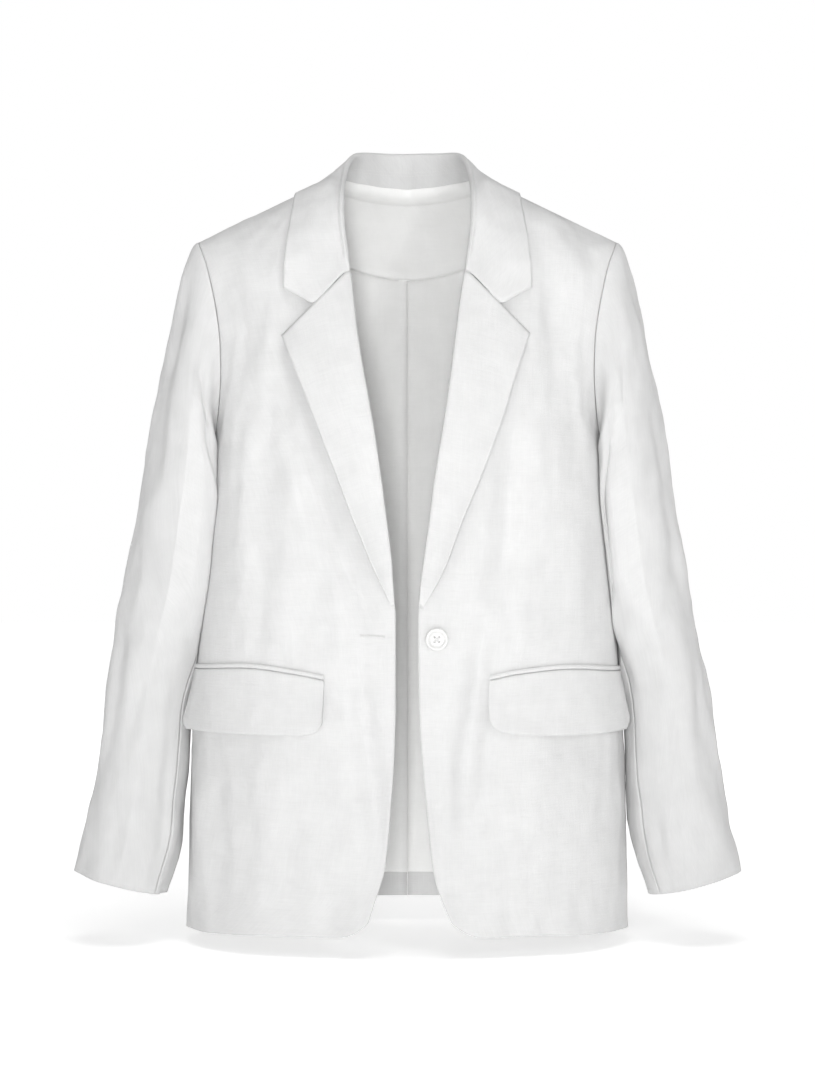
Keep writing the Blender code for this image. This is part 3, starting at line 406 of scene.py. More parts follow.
@dataclass(frozen=True)
class Torso:
    """The form that the fronts and the backs lie on."""

    neck_half: float = 0.0747
    shoulder_half: float = 0.2022
    shoulder_drop: float = 0.0616
    shoulder_round: float = 0.08
    back_neck_drop: float = 0.007
    armpit: float = -0.268
    front_reach: float = 0.05
    back_reach: float = 0.058
    roundness: float = 2.4
    front_hem: float = -0.716
    side_hem: float = -0.7205
    back_hem: float = -0.711
    crease_depth: float = 0.05  # depth of the body past which a crease is whole
    tip_drop: float = 0.004  # how far below the shoulder tip its ring is last read
    fullest: float = 0.95  # greatest share of a ring that an armhole takes

    @property
    def armhole_middle(self) -> float:
        """Height of the armhole's centre."""
        return (self.armpit - self.shoulder_drop) / 2

    @property
    def armhole_half(self) -> float:
        """Half of the armhole's height."""
        return (-self.shoulder_drop - self.armpit) / 2

    def reach(self, face: Face) -> float:
        """How far the armhole reaches forwards or back."""
        return self.front_reach if face is Face.FRONT else self.back_reach

    def shoulder_z(self, x: Array) -> Array:
        """Height of the shoulder line over places across the body."""
        slope = self.shoulder_drop / (self.shoulder_half - self.neck_half)
        return -(np.abs(x) - self.neck_half) * slope

    def fullness(self, x: Array, z: Array) -> Array:
        """1 on the body's walls, falling to 0 on the shoulder line."""
        s = np.clip((self.shoulder_z(x) - z) / self.shoulder_round, 0.0, 1.0)
        return np.sqrt(1 - (1 - s) ** 2)

    def armhole(self, angle: float, face: Face) -> Array:
        """Point of the armhole.

        Args:
            angle: Turn from the shoulder tip (0) to the armpit (pi).
            face: Front or back of the armhole.

        Returns:
            The point.
        """
        z = self.armhole_middle + self.armhole_half * math.cos(angle)
        deep = face.value * self.reach(face) * math.sin(angle)
        return np.array([float(ARMHOLE_X(z)), deep, z])

    def half_width(self, z: Array, face: Face) -> Array:
        """Half width of the torso's ring; over the armpit the ring meets the armhole.

        Args:
            z: Heights.
            face: Front or back.

        Returns:
            One half width for each height.
        """
        height = np.minimum(z, -self.shoulder_drop - self.tip_drop)
        across = ARMHOLE_X(height)
        turn = np.clip((height - self.armhole_middle) / self.armhole_half, -1.0, 1.0)
        reach = self.reach(face) * np.sin(np.arccos(turn))
        ratio = reach / (TORSO_DEPTH[face](height) * self.fullness(across, height))
        taken = np.minimum(ratio, self.fullest) ** self.roundness
        upper = across / (1 - taken) ** (1 / self.roundness)
        return np.where(z <= self.armpit, TORSO_HALF_WIDTH(z), upper)

    def y(self, x: Array, z: Array, face: Face, side: Side | None) -> Array:
        """Depth coordinate of the torso's outer surface.

        Args:
            x: Places across, taken positive.
            z: Heights.
            face: Front or back.
            side: Wearer's side, for its creases, or None for the plain form.

        Returns:
            Array of y, one for each place.
        """
        ratio = np.minimum(x / self.half_width(z, face), 1.0)
        plain = (TORSO_DEPTH[face](z) * (1 - ratio**self.roundness) ** (1 / self.roundness)
                 * self.fullness(x, z))
        if side is not None:
            whole = np.minimum(plain / self.crease_depth, 1.0)
            plain = plain - sink_of(BODY_CREASES[face, side], x, z) * whole
        return face.value * np.maximum(plain, SEAM / 2)

    def point(self, x: float, z: float, lift: float, side: Side) -> Array:
        """Point straight in front of the chest, a lift off its surface."""
        return np.array([x, float(self.y(x, z, Face.FRONT, side)) - lift, z])

    def off_front(self, x: Array, z: Array, lift: Array, side: Side) -> Grid:
        """Points off the front along its own level normal.

        Args:
            x: Places across.
            z: Heights.
            lift: Distances off the cloth.
            side: Wearer's side.

        Returns:
            One point for each place.
        """
        step = 0.001
        inner = np.minimum(x, self.half_width(z, Face.FRONT) - 2 * step)
        ahead = self.y(inner + step, z, Face.FRONT, side)
        behind = self.y(inner - step, z, Face.FRONT, side)
        slope = (ahead - behind) / (2 * step)
        away = unit(np.stack([slope, -np.ones_like(slope), np.zeros_like(slope)], axis=-1))
        base = np.stack([x, self.y(x, z, Face.FRONT, side), z], axis=-1)
        return base + away * np.asarray(lift)[..., None]

    def ring(self, start: float, end: float, width: float, shares: Array) -> Array:
        """Places across a ring at shares of the turn between two places."""
        half = self.roundness / 2
        first = math.asin(min(start / width, 1.0) ** half)
        last = math.asin(min(end / width, 1.0) ** half)
        return width * np.sin(blend(first, last, shares)) ** (1 / half)

    def clear(self, point: Array, lift: float) -> Array:
        """Keeps a point off the torso.

        Args:
            point: The point.
            lift: Least distance off the torso.

        Returns:
            The point itself, or the point pushed out.
        """
        x, y, z = point
        face = Face.BACK if y > 0 else Face.FRONT
        ratio = min(x / float(self.half_width(z, face)), 0.999)
        reach = float(TORSO_DEPTH[face](z)) * (1 - ratio**self.roundness) ** (1 / self.roundness)
        top = float(self.shoulder_z(x))
        across = y / reach
        up = max(1 - (top - z) / self.shoulder_round, 0.0)
        out = max(math.hypot(across, up), 1e-6)
        push = max((1 + lift / min(reach, self.shoulder_round)) / out, 1.0)
        new_z = z if up == 0 else top - self.shoulder_round * (1 - up * push)
        return np.array([x, across * push * reach, new_z])


TORSO = Torso()


@dataclass(frozen=True)
class BodyCut:
    """Grids of the four body pieces, at rows and columns counted as on their solids."""

    torso: Torso = TORSO
    front_columns: int = 14
    back_columns: int = 12
    neck_columns: int = 4
    hem_rows: tuple[float, ...] = (0.0, 0.025, 0.055)
    corner_rise: float = 0.0142
    corner_width: float = 0.03
    edge_crowding: float = 1.2  # above 1, front columns stand closer at the edge
    hem_turn: tuple[float, float] = (0.13, 0.08)  # where the front hem drops, and its run
    dip: tuple[float, float] = (-0.012, 0.042)  # of back rows: at the centre, and beside it
    dip_reach: tuple[float, float] = (0.0625, 0.11)

    @property
    def rows(self) -> Array:
        """Places of the rows, from the hem to the shoulder."""
        bands = BODY_ROWS + ARMHOLE_ROWS
        return np.linspace(0, bands, bands * ROW_STEPS + 1)

    def columns(self, face: Face) -> Array:
        """Places of the columns, from the centre to the side seam."""
        bands = self.front_columns if face is Face.FRONT else self.back_columns
        return np.linspace(0, bands, bands * COLUMN_STEPS + 1)

    def height_share(self, row: float) -> float:
        """Share of the way from the hem to the armpit at which a row stands."""
        last = len(self.hem_rows) - 1
        if row <= last:
            return float(np.interp(row, range(last + 1), self.hem_rows))
        return blend(self.hem_rows[-1], 1.0, (row - last) / (BODY_ROWS - last))

    def front_row(self, side: Side, row: float, columns: Array) -> Path:
        """Points of one row of a front.

        Args:
            side: Wearer's side.
            row: Place of the row, 0 at the hem.
            columns: Places of the points, 0 at the front edge.

        Returns:
            Points without their creases' small puckers.
        """
        torso, edge = self.torso, FRONT_EDGE[side]
        shares = (columns / self.front_columns) ** self.edge_crowding
        if row < BODY_ROWS:
            v = self.height_share(row)
            corner_z, corner_x = edge.keys[0], edge.values[0]
            level = blend(corner_z, torso.armpit, v)
            wide = float(torso.half_width(level, Face.FRONT))
            x = torso.ring(float(edge(level)), wide, wide, shares)
            drop = np.clip((x - self.hem_turn[0]) / self.hem_turn[1], 0.0, 1.0)
            hem = blend(torso.front_hem, torso.side_hem, drop)
            nearness = np.maximum(1 - (x - corner_x) / self.corner_width, 0.0)
            z = blend(hem + self.corner_rise * nearness**2, torso.armpit, v)
            x = x * torso.half_width(z, Face.FRONT) / wide
        else:
            v = (row - BODY_ROWS) / ARMHOLE_ROWS
            side_x, _, side_z = torso.armhole(math.pi * (1 - v), Face.FRONT)
            edge_z = blend(torso.armpit, 0.0, v)
            edge_x = float(edge(edge_z))
            wide = max(float(torso.half_width(side_z, Face.FRONT)), side_x)
            x = torso.ring(edge_x, side_x, wide, shares)
            z = edge_z + (side_z - edge_z) / (side_x - edge_x) * (x - edge_x)
        return np.stack([x, torso.y(x, z, Face.FRONT, side), z], axis=-1)

    def back_row(self, side: Side, row: float, columns: Array) -> Path:
        """Points of one row of a back half.

        Args:
            side: Wearer's side.
            row: Place of the row, 0 at the hem.
            columns: Places of the points, 0 at the centre back seam.

        Returns:
            Points without their creases' small puckers.
        """
        torso = self.torso
        shares = columns / self.back_columns
        if row < BODY_ROWS:
            v = self.height_share(row)
            level = blend(torso.back_hem, torso.armpit, v)
            wide = float(torso.half_width(level, Face.BACK))
            x = torso.ring(SEAM / 2, wide, wide, shares)
            hem = blend(torso.back_hem, torso.side_hem, (x / wide) ** 2)
            z = blend(hem, torso.armpit, v)
            x = x * torso.half_width(z, Face.BACK) / wide
        else:
            v = (row - BODY_ROWS) / ARMHOLE_ROWS
            side_x, _, side_z = torso.armhole(math.pi * (1 - v), Face.BACK)
            wide = max(float(torso.half_width(side_z, Face.BACK)), side_x)
            x = torso.ring(SEAM / 2, side_x, wide, shares)
            spread_out = side_x / torso.shoulder_half
            x = blend(x, self.top_x(columns) * spread_out, v**2)
            side_share = (side_z - torso.armpit) / (-torso.shoulder_drop - torso.armpit)
            share = blend(v, side_share, (x / side_x) ** 2) + self.smile(x, v, side_x)
            z = blend(torso.armpit, self.back_top(x / spread_out), share)
        return np.stack([x, torso.y(x, z, Face.BACK, side), z], axis=-1)

    def top_x(self, columns: Array) -> Array:
        """Places across of the back's top points: the neckline, then the shoulder seam."""
        torso, neck = self.torso, self.neck_columns
        near = SEAM / 2 + torso.neck_half * np.sin(math.pi / 2 / neck * np.minimum(columns, neck))
        rest = np.maximum(columns - neck, 0.0) / (self.back_columns - neck)
        return np.where(columns < neck, np.minimum(near, torso.neck_half),
                        blend(torso.neck_half, torso.shoulder_half, rest))

    def back_top(self, x: Array) -> Array:
        """Height of the back neckline, or of the shoulder seam further out."""
        torso = self.torso
        neck = -torso.back_neck_drop * (1 - (x / torso.neck_half) ** 2)
        return np.where(x < torso.neck_half, neck, torso.shoulder_z(x))

    def smile(self, x: Array, v: float, side_x: float) -> Array:
        """Share by which a row near the neck dips at the centre and rises beside it."""
        (low, high), (near, far) = self.dip, self.dip_reach
        dip = low + high * (x / near) ** 2 * np.exp(-((x / far) ** 2))
        return 4 * v * (1 - v) * dip * (1 - (x / side_x) ** 2)

    def plain(self, face: Face, side: Side, rows: Array, columns: Array) -> Grid:
        """Grid of a body piece at chosen rows and columns, before its puckers."""
        line = self.front_row if face is Face.FRONT else self.back_row
        return np.array([line(side, float(row), columns) for row in rows])

    def normals(self, grid: Grid, face: Face) -> Grid:
        """Normals of a whole body grid, level with the seams at its borders.

        Args:
            grid: The grid.
            face: Front or back.

        Returns:
            Unit normals, one for each point.
        """
        away = np.array([0.0, face.value, 0.0])
        found = grid_normals(grid, away)
        found[:BODY_ROWS * ROW_STEPS + 1, -1, 1] = 0.0
        shoulder = grid[-1, :, 0] >= self.torso.neck_half - 1e-6
        found[-1, :, 1] = np.where(shoulder, 0.0, found[-1, :, 1])
        if face is Face.BACK:
            found[:, 0, 0] = 0.0
        return unit(found)


CUT = BodyCut()
POCKET_SPAN = (0.07, 0.206, -0.486, -0.464)
SIDE_SPAN = (0.178, 0.22, -0.45, -0.262)
QUIET = {                   # x and z spans where the cloth lies smooth under other pieces
    (Face.FRONT, Side.LEFT): (POCKET_SPAN, SIDE_SPAN, (0.014, 0.04, -0.454, -0.428),
                              (0.06, 0.104, -0.11, 0.01)),
    (Face.FRONT, Side.RIGHT): (POCKET_SPAN, SIDE_SPAN, (0.014, 0.048, -0.446, -0.43),
                               (0.06, 0.104, -0.11, 0.01)),
    (Face.BACK, Side.LEFT): (SIDE_SPAN, (0.000, 0.095, -0.04, 0.01)),
    (Face.BACK, Side.RIGHT): (SIDE_SPAN, (0.000, 0.095, -0.04, 0.01)),
}


def restless(grid: Grid, face: Face, side: Side) -> Array:
    """Share of its waves that a body piece keeps beside what lies on it.

    Args:
        grid: The piece's grid.
        face: Front or back.
        side: Wearer's side.

    Returns:
        One share for each point.
    """
    x, z = grid[..., 0], grid[..., 2]
    share = np.ones(x.shape)
    for low_x, high_x, low_z, high_z in QUIET[face, side]:
        beside = np.maximum(np.maximum(low_x - x, x - high_x), 0.0)
        above = np.maximum(np.maximum(low_z - z, z - high_z), 0.0)
        share = share * ease(np.hypot(beside, above) / FADE)
    return share


@lru_cache(maxsize=None)
def body_piece(face: Face, side: Side) -> tuple[Grid, Grid]:
    """Outer grid of one front or back half, with its puckers, and its normals."""
    grid = CUT.plain(face, side, CUT.rows, CUT.columns(face))
    found = CUT.normals(grid, face)
    fade = fade_from(grid, "first_column last_column last_row") * restless(grid, face, side)
    return puckered(grid, found, BODY_PUCKERS, fade, side), found


@dataclass(frozen=True)
class SleeveRing:
    """Outline of the sleeve's tube where a cut meets its outer and inner edges."""

    outer: tuple[float, float]  # x and z
    inner: tuple[float, float]  # x and z
    y: float
    half_depth: float


SLEEVE_RINGS = (
    SleeveRing((0.2292, -0.15), (0.1908, -0.286), 0.004, 0.068),
    SleeveRing((0.2441, -0.22), (0.1942, -0.335), 0.006, 0.066),
    SleeveRing((0.257, -0.2899), (0.199, -0.385), 0.006, 0.063),
    SleeveRing((0.266, -0.351), (0.2036, -0.43), 0.004, 0.06),
    SleeveRing((0.2755, -0.402), (0.2058, -0.47), 0.000, 0.057),
    SleeveRing((0.2846, -0.4591), (0.2084, -0.515), -0.005, 0.054),
    SleeveRing((0.2949, -0.5319), (0.2118, -0.578), -0.013, 0.05),
    SleeveRing((0.3056, -0.5969), (0.216, -0.632), -0.021, 0.047),
    SleeveRing((0.3183, -0.6657), (0.2313, -0.688), -0.028, 0.045),
)
SLEEVE_RADIUS = 0.055        # mean radius of the tube, for unrolling it
SLEEVE_LENGTH = 0.52


def wraps(*rows: tuple[float, ...]) -> tuple[Crease, ...]:
    """Creases on the unrolled sleeve.

    Args:
        *rows: Both ends, each as a turn from the outer edge in radians and a share of the way
            down the tube, then the half width and the depth of the trough.

    Returns:
        The creases, in metres on the unrolled tube.
    """
    scale = np.array([SLEEVE_RADIUS, SLEEVE_LENGTH] * 2)
    return creases(*((*(scale * row[:4]), *row[4:]) for row in rows))


SLEEVE_CREASES = {
    Side.LEFT: wraps(
        (1.2, -0.16, 1.75, 0.14, 0.0088, 0.004), (1.8, 0.02, 1.95, 0.42, 0.01, 0.0076),
        (2.55, 0.36, 2.45, 0.6, 0.0094, 0.0036), (1.45, 0.68, 1.6, 0.88, 0.0099, 0.0032),
        (0.55, 0.22, 0.85, 0.44, 0.011, 0.0022), (1.05, 0.46, 2.2, 0.54, 0.011, 0.0026),
        (0.7, 0.6, 0.95, 0.8, 0.0099, 0.0018), (2.1, 0.86, 2.2, 1.04, 0.0077, 0.002),
        (4.3, 0.1, 4.05, 0.44, 0.0121, 0.004), (5.1, 0.34, 4.2, 0.5, 0.011, 0.003),
        (4.6, 0.58, 4.75, 0.9, 0.0121, 0.0034),
    ),
    Side.RIGHT: wraps(
        (0.62, -0.1, 0.8, 0.26, 0.011, 0.0034), (1.5, -0.15, 2.00, 0.1, 0.01, 0.0056),
        (2.4, 0.22, 2.6, 0.46, 0.0094, 0.003), (1.2, 0.4, 2.3, 0.5, 0.011, 0.0028),
        (1.6, 0.52, 1.25, 0.76, 0.0099, 0.0034), (0.8, 0.56, 0.75, 0.78, 0.0099, 0.0024),
        (2.2, 0.66, 2.35, 0.94, 0.0083, 0.0028), (1.3, 0.84, 1.4, 1.02, 0.0099, 0.002),
        (4.1, 0.06, 4.35, 0.4, 0.0121, 0.0042), (5.00, 0.42, 4.3, 0.56, 0.011, 0.0028),
        (4.8, 0.62, 4.55, 0.94, 0.0121, 0.003),
    ),
}


@dataclass(frozen=True)
class SleeveCut:
    """Grid of one two-piece sleeve, from the armhole to the cuff."""

    torso: Torso = TORSO
    cap_rows: int = 7
    tube_rows: int = 14
    turn_steps: int = 20  # bands of columns all the way round
    cap_start: float = 0.013
    cap_pull: tuple[float, float] = (0.35, 0.4)  # how full the head's curve is at its ends
    least_lean: float = 0.25
    fine: int = 6
    inner_reach: float = 0.023  # how far the inner side leans to the body
    lean: tuple[float, float] = (0.62, 0.9)  # share of it at the top, and further down
    lean_run: float = 0.16  # share of the tube over which it grows
    lean_end: tuple[float, float] = (0.32, 0.34)  # share where it starts to end, and its run
    flatness: float = 0.12  # 1 is round, less is flat against the body
    clearance: float = 0.0006
    head_run: float = -0.2  # share of the tube's length that the head goes up
    calm: float = 0.04  # distance from the armhole over which folds start
    contact: float = 1.00  # turn to both sides over which it lies on the body
    contact_end: tuple[float, float] = (0.55, 0.3)

    def tube(self, v: float, angle: Array) -> Path:
        """Outer points round the tube.

        Args:
            v: Share of the way from the upper arm to the cuff.
            angle: Turns from the outer edge.

        Returns:
            One point for each turn.
        """
        keys = np.linspace(0.0, 1.0, len(SLEEVE_RINGS))
        table = np.array([(*r.outer, *r.inner, r.y, r.half_depth) for r in SLEEVE_RINGS])
        read = [float(Curve(tuple(keys), tuple(column))(v)) for column in table.T]
        outer_x, outer_z, inner_x, inner_z, y, half_depth = read
        across = np.cos(angle)
        z = (outer_z + inner_z) / 2 + (outer_z - inner_z) / 2 * across
        y = y - half_depth * np.sin(angle)
        start, run = self.lean_end
        close = blend(*self.lean, ease(v / self.lean_run))
        close = close - ease(np.array((v - start) / run)) * self.lean[1]
        inner_x = inner_x - self.inner_reach * close
        flat = -np.abs(across) ** blend(1.0, self.flatness, close)
        across = np.where(across < 0, flat, across)
        x = (outer_x + inner_x) / 2 + (outer_x - inner_x) / 2 * across
        return np.stack([np.maximum(x, self.beside_body(y, z)), y, z], axis=-1)

    def beside_body(self, y: Array, z: Array) -> Array:
        """Least x at which the sleeve still hangs clear of the body, at depths and heights."""
        torso, below = self.torso, np.minimum(z, self.torso.armpit)
        deep = np.where(y > 0, TORSO_DEPTH[Face.BACK](below), TORSO_DEPTH[Face.FRONT](below))
        ratio = np.minimum(np.abs(y) / deep, 1.0) ** torso.roundness
        side = TORSO_HALF_WIDTH(below) * (1 - ratio) ** (1 / torso.roundness)
        return side + self.clearance

    @staticmethod
    def start_side(angle: float) -> tuple[float, Face]:
        """Turn from the shoulder tip, 0 to pi, and the face of the body it lies on."""
        turned = angle % (2 * math.pi)
        return (turned, Face.FRONT) if turned <= math.pi else (2 * math.pi - turned, Face.BACK)

    def body_normal(self, x: float, z: float, face: Face) -> Array:
        """Unit normal of the plain torso just inside an armhole point."""
        step = 0.0008
        here = float(self.torso.y(x, z, face, None))
        slope_x = (here - float(self.torso.y(x - step, z, face, None))) / step
        slope_z = (here - float(self.torso.y(x, z - step, face, None))) / step
        return unit(face.value * np.array([-slope_x, 1.0, -slope_z]))

    def leave(self, angle: float) -> Array:
        """Direction in which the sleeve leaves the armhole, always off the body.

        Args:
            angle: Turn from the outer edge.

        Returns:
            The direction.
        """
        torso = self.torso
        down = unit(np.array([0.85, -0.45 * math.sin(angle),
                              -0.12 - 0.35 * (1 - math.cos(angle))]))
        turned, face = self.start_side(angle)
        here = torso.armhole(turned, face)
        if turned < 0.05:
            off = unit(np.array([torso.shoulder_drop, 0.0, torso.shoulder_half - torso.neck_half]))
        else:
            off = self.body_normal(here[0], here[2], face)
        return unit(down + off * max(self.least_lean - float(down @ off), 0.0))

    def cap(self, angle: float, shares: Array) -> Path:
        """Outer points of the sleeve head at one turn.

        Args:
            angle: Turn from the outer edge.
            shares: Shares of the way from the armhole to the tube.

        Returns:
            One point for each share.
        """
        leave = self.leave(angle)
        start = self.torso.armhole(*self.start_side(angle)) + leave * SEWN
        end = self.tube(0.0, np.array([angle]))[0]
        span = float(np.linalg.norm(end - start))
        arrive = unit(self.tube(0.05, np.array([angle]))[0] - end)
        first = start + leave * min(self.cap_start, self.cap_pull[0] * span)
        second = end - arrive * self.cap_pull[1] * span
        t = shares[:, None]
        return ((1 - t) ** 3 * start + 3 * (1 - t) ** 2 * t * first
                + 3 * (1 - t) * t**2 * second + t**3 * end)

    @property
    def angles(self) -> Array:
        """Turns of the columns all the way round, the last one left out."""
        return np.linspace(0.0, 2 * math.pi, self.turn_steps * self.fine, endpoint=False)

    def whole(self) -> tuple[Grid, Grid]:
        """Surface all the way round, without creases.

        Returns:
            Its grid and its normals.
        """
        shares = np.linspace(0.0, 1.0, self.cap_rows * self.fine, endpoint=False)
        cap = np.stack([self.cap(float(a), shares) for a in self.angles], axis=1)
        downs = np.linspace(0.0, 1.0, self.tube_rows * self.fine + 1)
        tube = np.array([self.tube(float(v), self.angles) for v in downs])
        grid = np.concatenate([cap, tube])
        centre = grid.mean(axis=1, keepdims=True)
        around = np.roll(grid, -1, axis=1) - np.roll(grid, 1, axis=1)
        found = unit(np.cross(around, np.gradient(grid, axis=0)))
        leaving = np.array([self.leave(float(a)) for a in self.angles])
        found[0] = unit(np.cross(around[0], leaving))
        return grid, found * np.sign(np.sum(found * (grid - centre)))

    def dressed(self, side: Side) -> tuple[Grid, Grid]:
        """Surface of one sleeve with its creases and waves.

        Args:
            side: Wearer's side.

        Returns:
            Its grid and its normals.
        """
        grid, found = self.whole()
        cap = self.cap_rows * self.fine
        tube = self.tube_rows * self.fine
        rows = np.concatenate([np.linspace(self.head_run, 0.0, cap, endpoint=False),
                               np.linspace(0.0, 1.0, tube + 1)])
        turns, downs = np.meshgrid(self.angles, rows)
        sink = sink_of(SLEEVE_CREASES[side], turns * SLEEVE_RADIUS, downs * SLEEVE_LENGTH)
        started = ease(arc_lengths(grid, 0) / self.calm)
        grid = grid - found * (sink * started)[..., None]
        low, run = self.contact_end
        touching = np.exp(-((turns - math.pi) / self.contact) ** 4)
        touching = touching * (1 - ease((downs - low) / run))
        grid = puckered(grid, found, SLEEVE_PUCKERS, started * (1 - touching), side)
        hanging = grid[..., 2] < self.torso.armpit
        least = self.beside_body(grid[..., 1], grid[..., 2])
        grid[..., 0] = np.where(hanging, np.maximum(grid[..., 0], least), grid[..., 0])
        return grid, found


SLEEVE = SleeveCut()


LAPEL_EDGE = {
    Side.LEFT: Curve.of(
        (-0.414, 0.0138), (-0.3867, 0.0285), (-0.3362, 0.0485), (-0.281, 0.0716),
        (-0.2395, 0.0875), (-0.2039, 0.0985), (-0.157, 0.1145)),
    Side.RIGHT: Curve.of(
        (-0.4115, 0.0148), (-0.361, 0.0367), (-0.29, 0.065), (-0.22, 0.093),
        (-0.159, 0.118)),
}
LAPEL_ROLL = ((-0.0023, -0.0008), (-0.0034, 0.0014), (-0.0026, 0.0038))     # across, lift
ROLL_END = 0.02             # share of a lapel's width at which its face starts


@dataclass(frozen=True)
class LapelCut:
    """Grid of a turned-back lapel, from the break to the gorge seam."""

    break_z: float = -0.41
    gorge_z: float = -0.0976
    lift: float = 0.006
    least_lift: float = 0.0016
    blooms: tuple[float, float] = (0.0095, 0.0135)  # wearer's left and right
    rise_run: tuple[float, float] = (0.01, 0.17)
    least_curl: float = 0.3
    pressed: float = 0.15  # share of the lift that is missing beside the roll

    def risen(self, w: Values) -> Array:
        """Share from 0 at the break, where the lapel lies flat, to 1 further up."""
        return ease((np.asarray(w) + self.rise_run[0]) / self.rise_run[1])

    def row(self, side: Side, w: float, shares: Array) -> Path:
        """Face points of one row of the lapel.

        Args:
            side: Wearer's side.
            w: Share of the way from the break to the gorge.
            shares: Shares of the way from the roll line to the free edge.

        Returns:
            The points round the roll, then one for each share.
        """
        roll_z = blend(self.break_z, self.gorge_z, w)
        x, y, z = edge_point(side, roll_z)
        edge = LAPEL_EDGE[side]
        free_z = blend(edge.keys[0], edge.keys[-1], w)
        risen = float(self.risen(w))
        curl = blend(self.least_curl, 1.0, risen)
        roll = np.array([(x + curl * across, y - curl * lift, z) for across, lift in LAPEL_ROLL])
        across = blend(x, float(edge(free_z)), shares)
        down = blend(z, free_z, shares)
        bloom = self.blooms[side is Side.RIGHT] * math.sin(math.pi * w) ** 0.6 * shares**2
        relaxed = 1 - self.pressed + self.pressed * np.minimum(shares * 4, 1.0)
        lift = self.lift * relaxed + bloom
        lift = blend(self.least_lift, lift, risen)
        ahead = TORSO.y(across, down, Face.FRONT, side) - lift
        return np.concatenate([roll, np.stack([across, ahead, down], axis=-1)])


LAPEL = LapelCut()


@lru_cache(maxsize=None)
def front_edge_path(side: Side) -> Path:
    """Points of a front's own edge, from the hem to the neck, at the solid's rows."""
    bands = BODY_ROWS + ARMHOLE_ROWS
    return CUT.plain(Face.FRONT, side, np.arange(bands + 1.0), np.zeros(1))[:, 0]


def edge_point(side: Side, z: float) -> Array:
    """Point of the front's own edge at a height."""
    path = front_edge_path(side)
    return np.array([np.interp(z, path[:, 2], path[:, k]) for k in range(3)])


@dataclass(frozen=True)
class NeckStation:
    """Section of the collar at one corner of the neckline."""

    fold: tuple[float, float, float]
    edge: tuple[float, float, float]
    rise: float


COLLAR_STATIONS = (          # from the centre back to the front of the neck
    NeckStation((0.0000, 0.0735, 0.036), (0.0000, 0.098, -0.03), 1.00),
    NeckStation((0.028, 0.0665, 0.0355), (0.05, 0.09, -0.03), 1.00),
    NeckStation((0.0495, 0.045, 0.0325), (0.083, 0.067, -0.027), 1.00),
    NeckStation((0.058, 0.018, 0.022), (0.1, 0.036, -0.02), 0.95),
    NeckStation((0.0612, -0.004, 0.0075), (0.107, 0.002, -0.0148), 0.8),
    NeckStation((0.0632, -0.0455, -0.018), (0.11, -0.036, -0.033), 0.5),
    NeckStation((0.0625, -0.064, -0.048), (0.114, -0.064, -0.063), 0.25),
    NeckStation((0.059, -0.0745, -0.077), (0.116, -0.078, -0.09), 0.08),
)


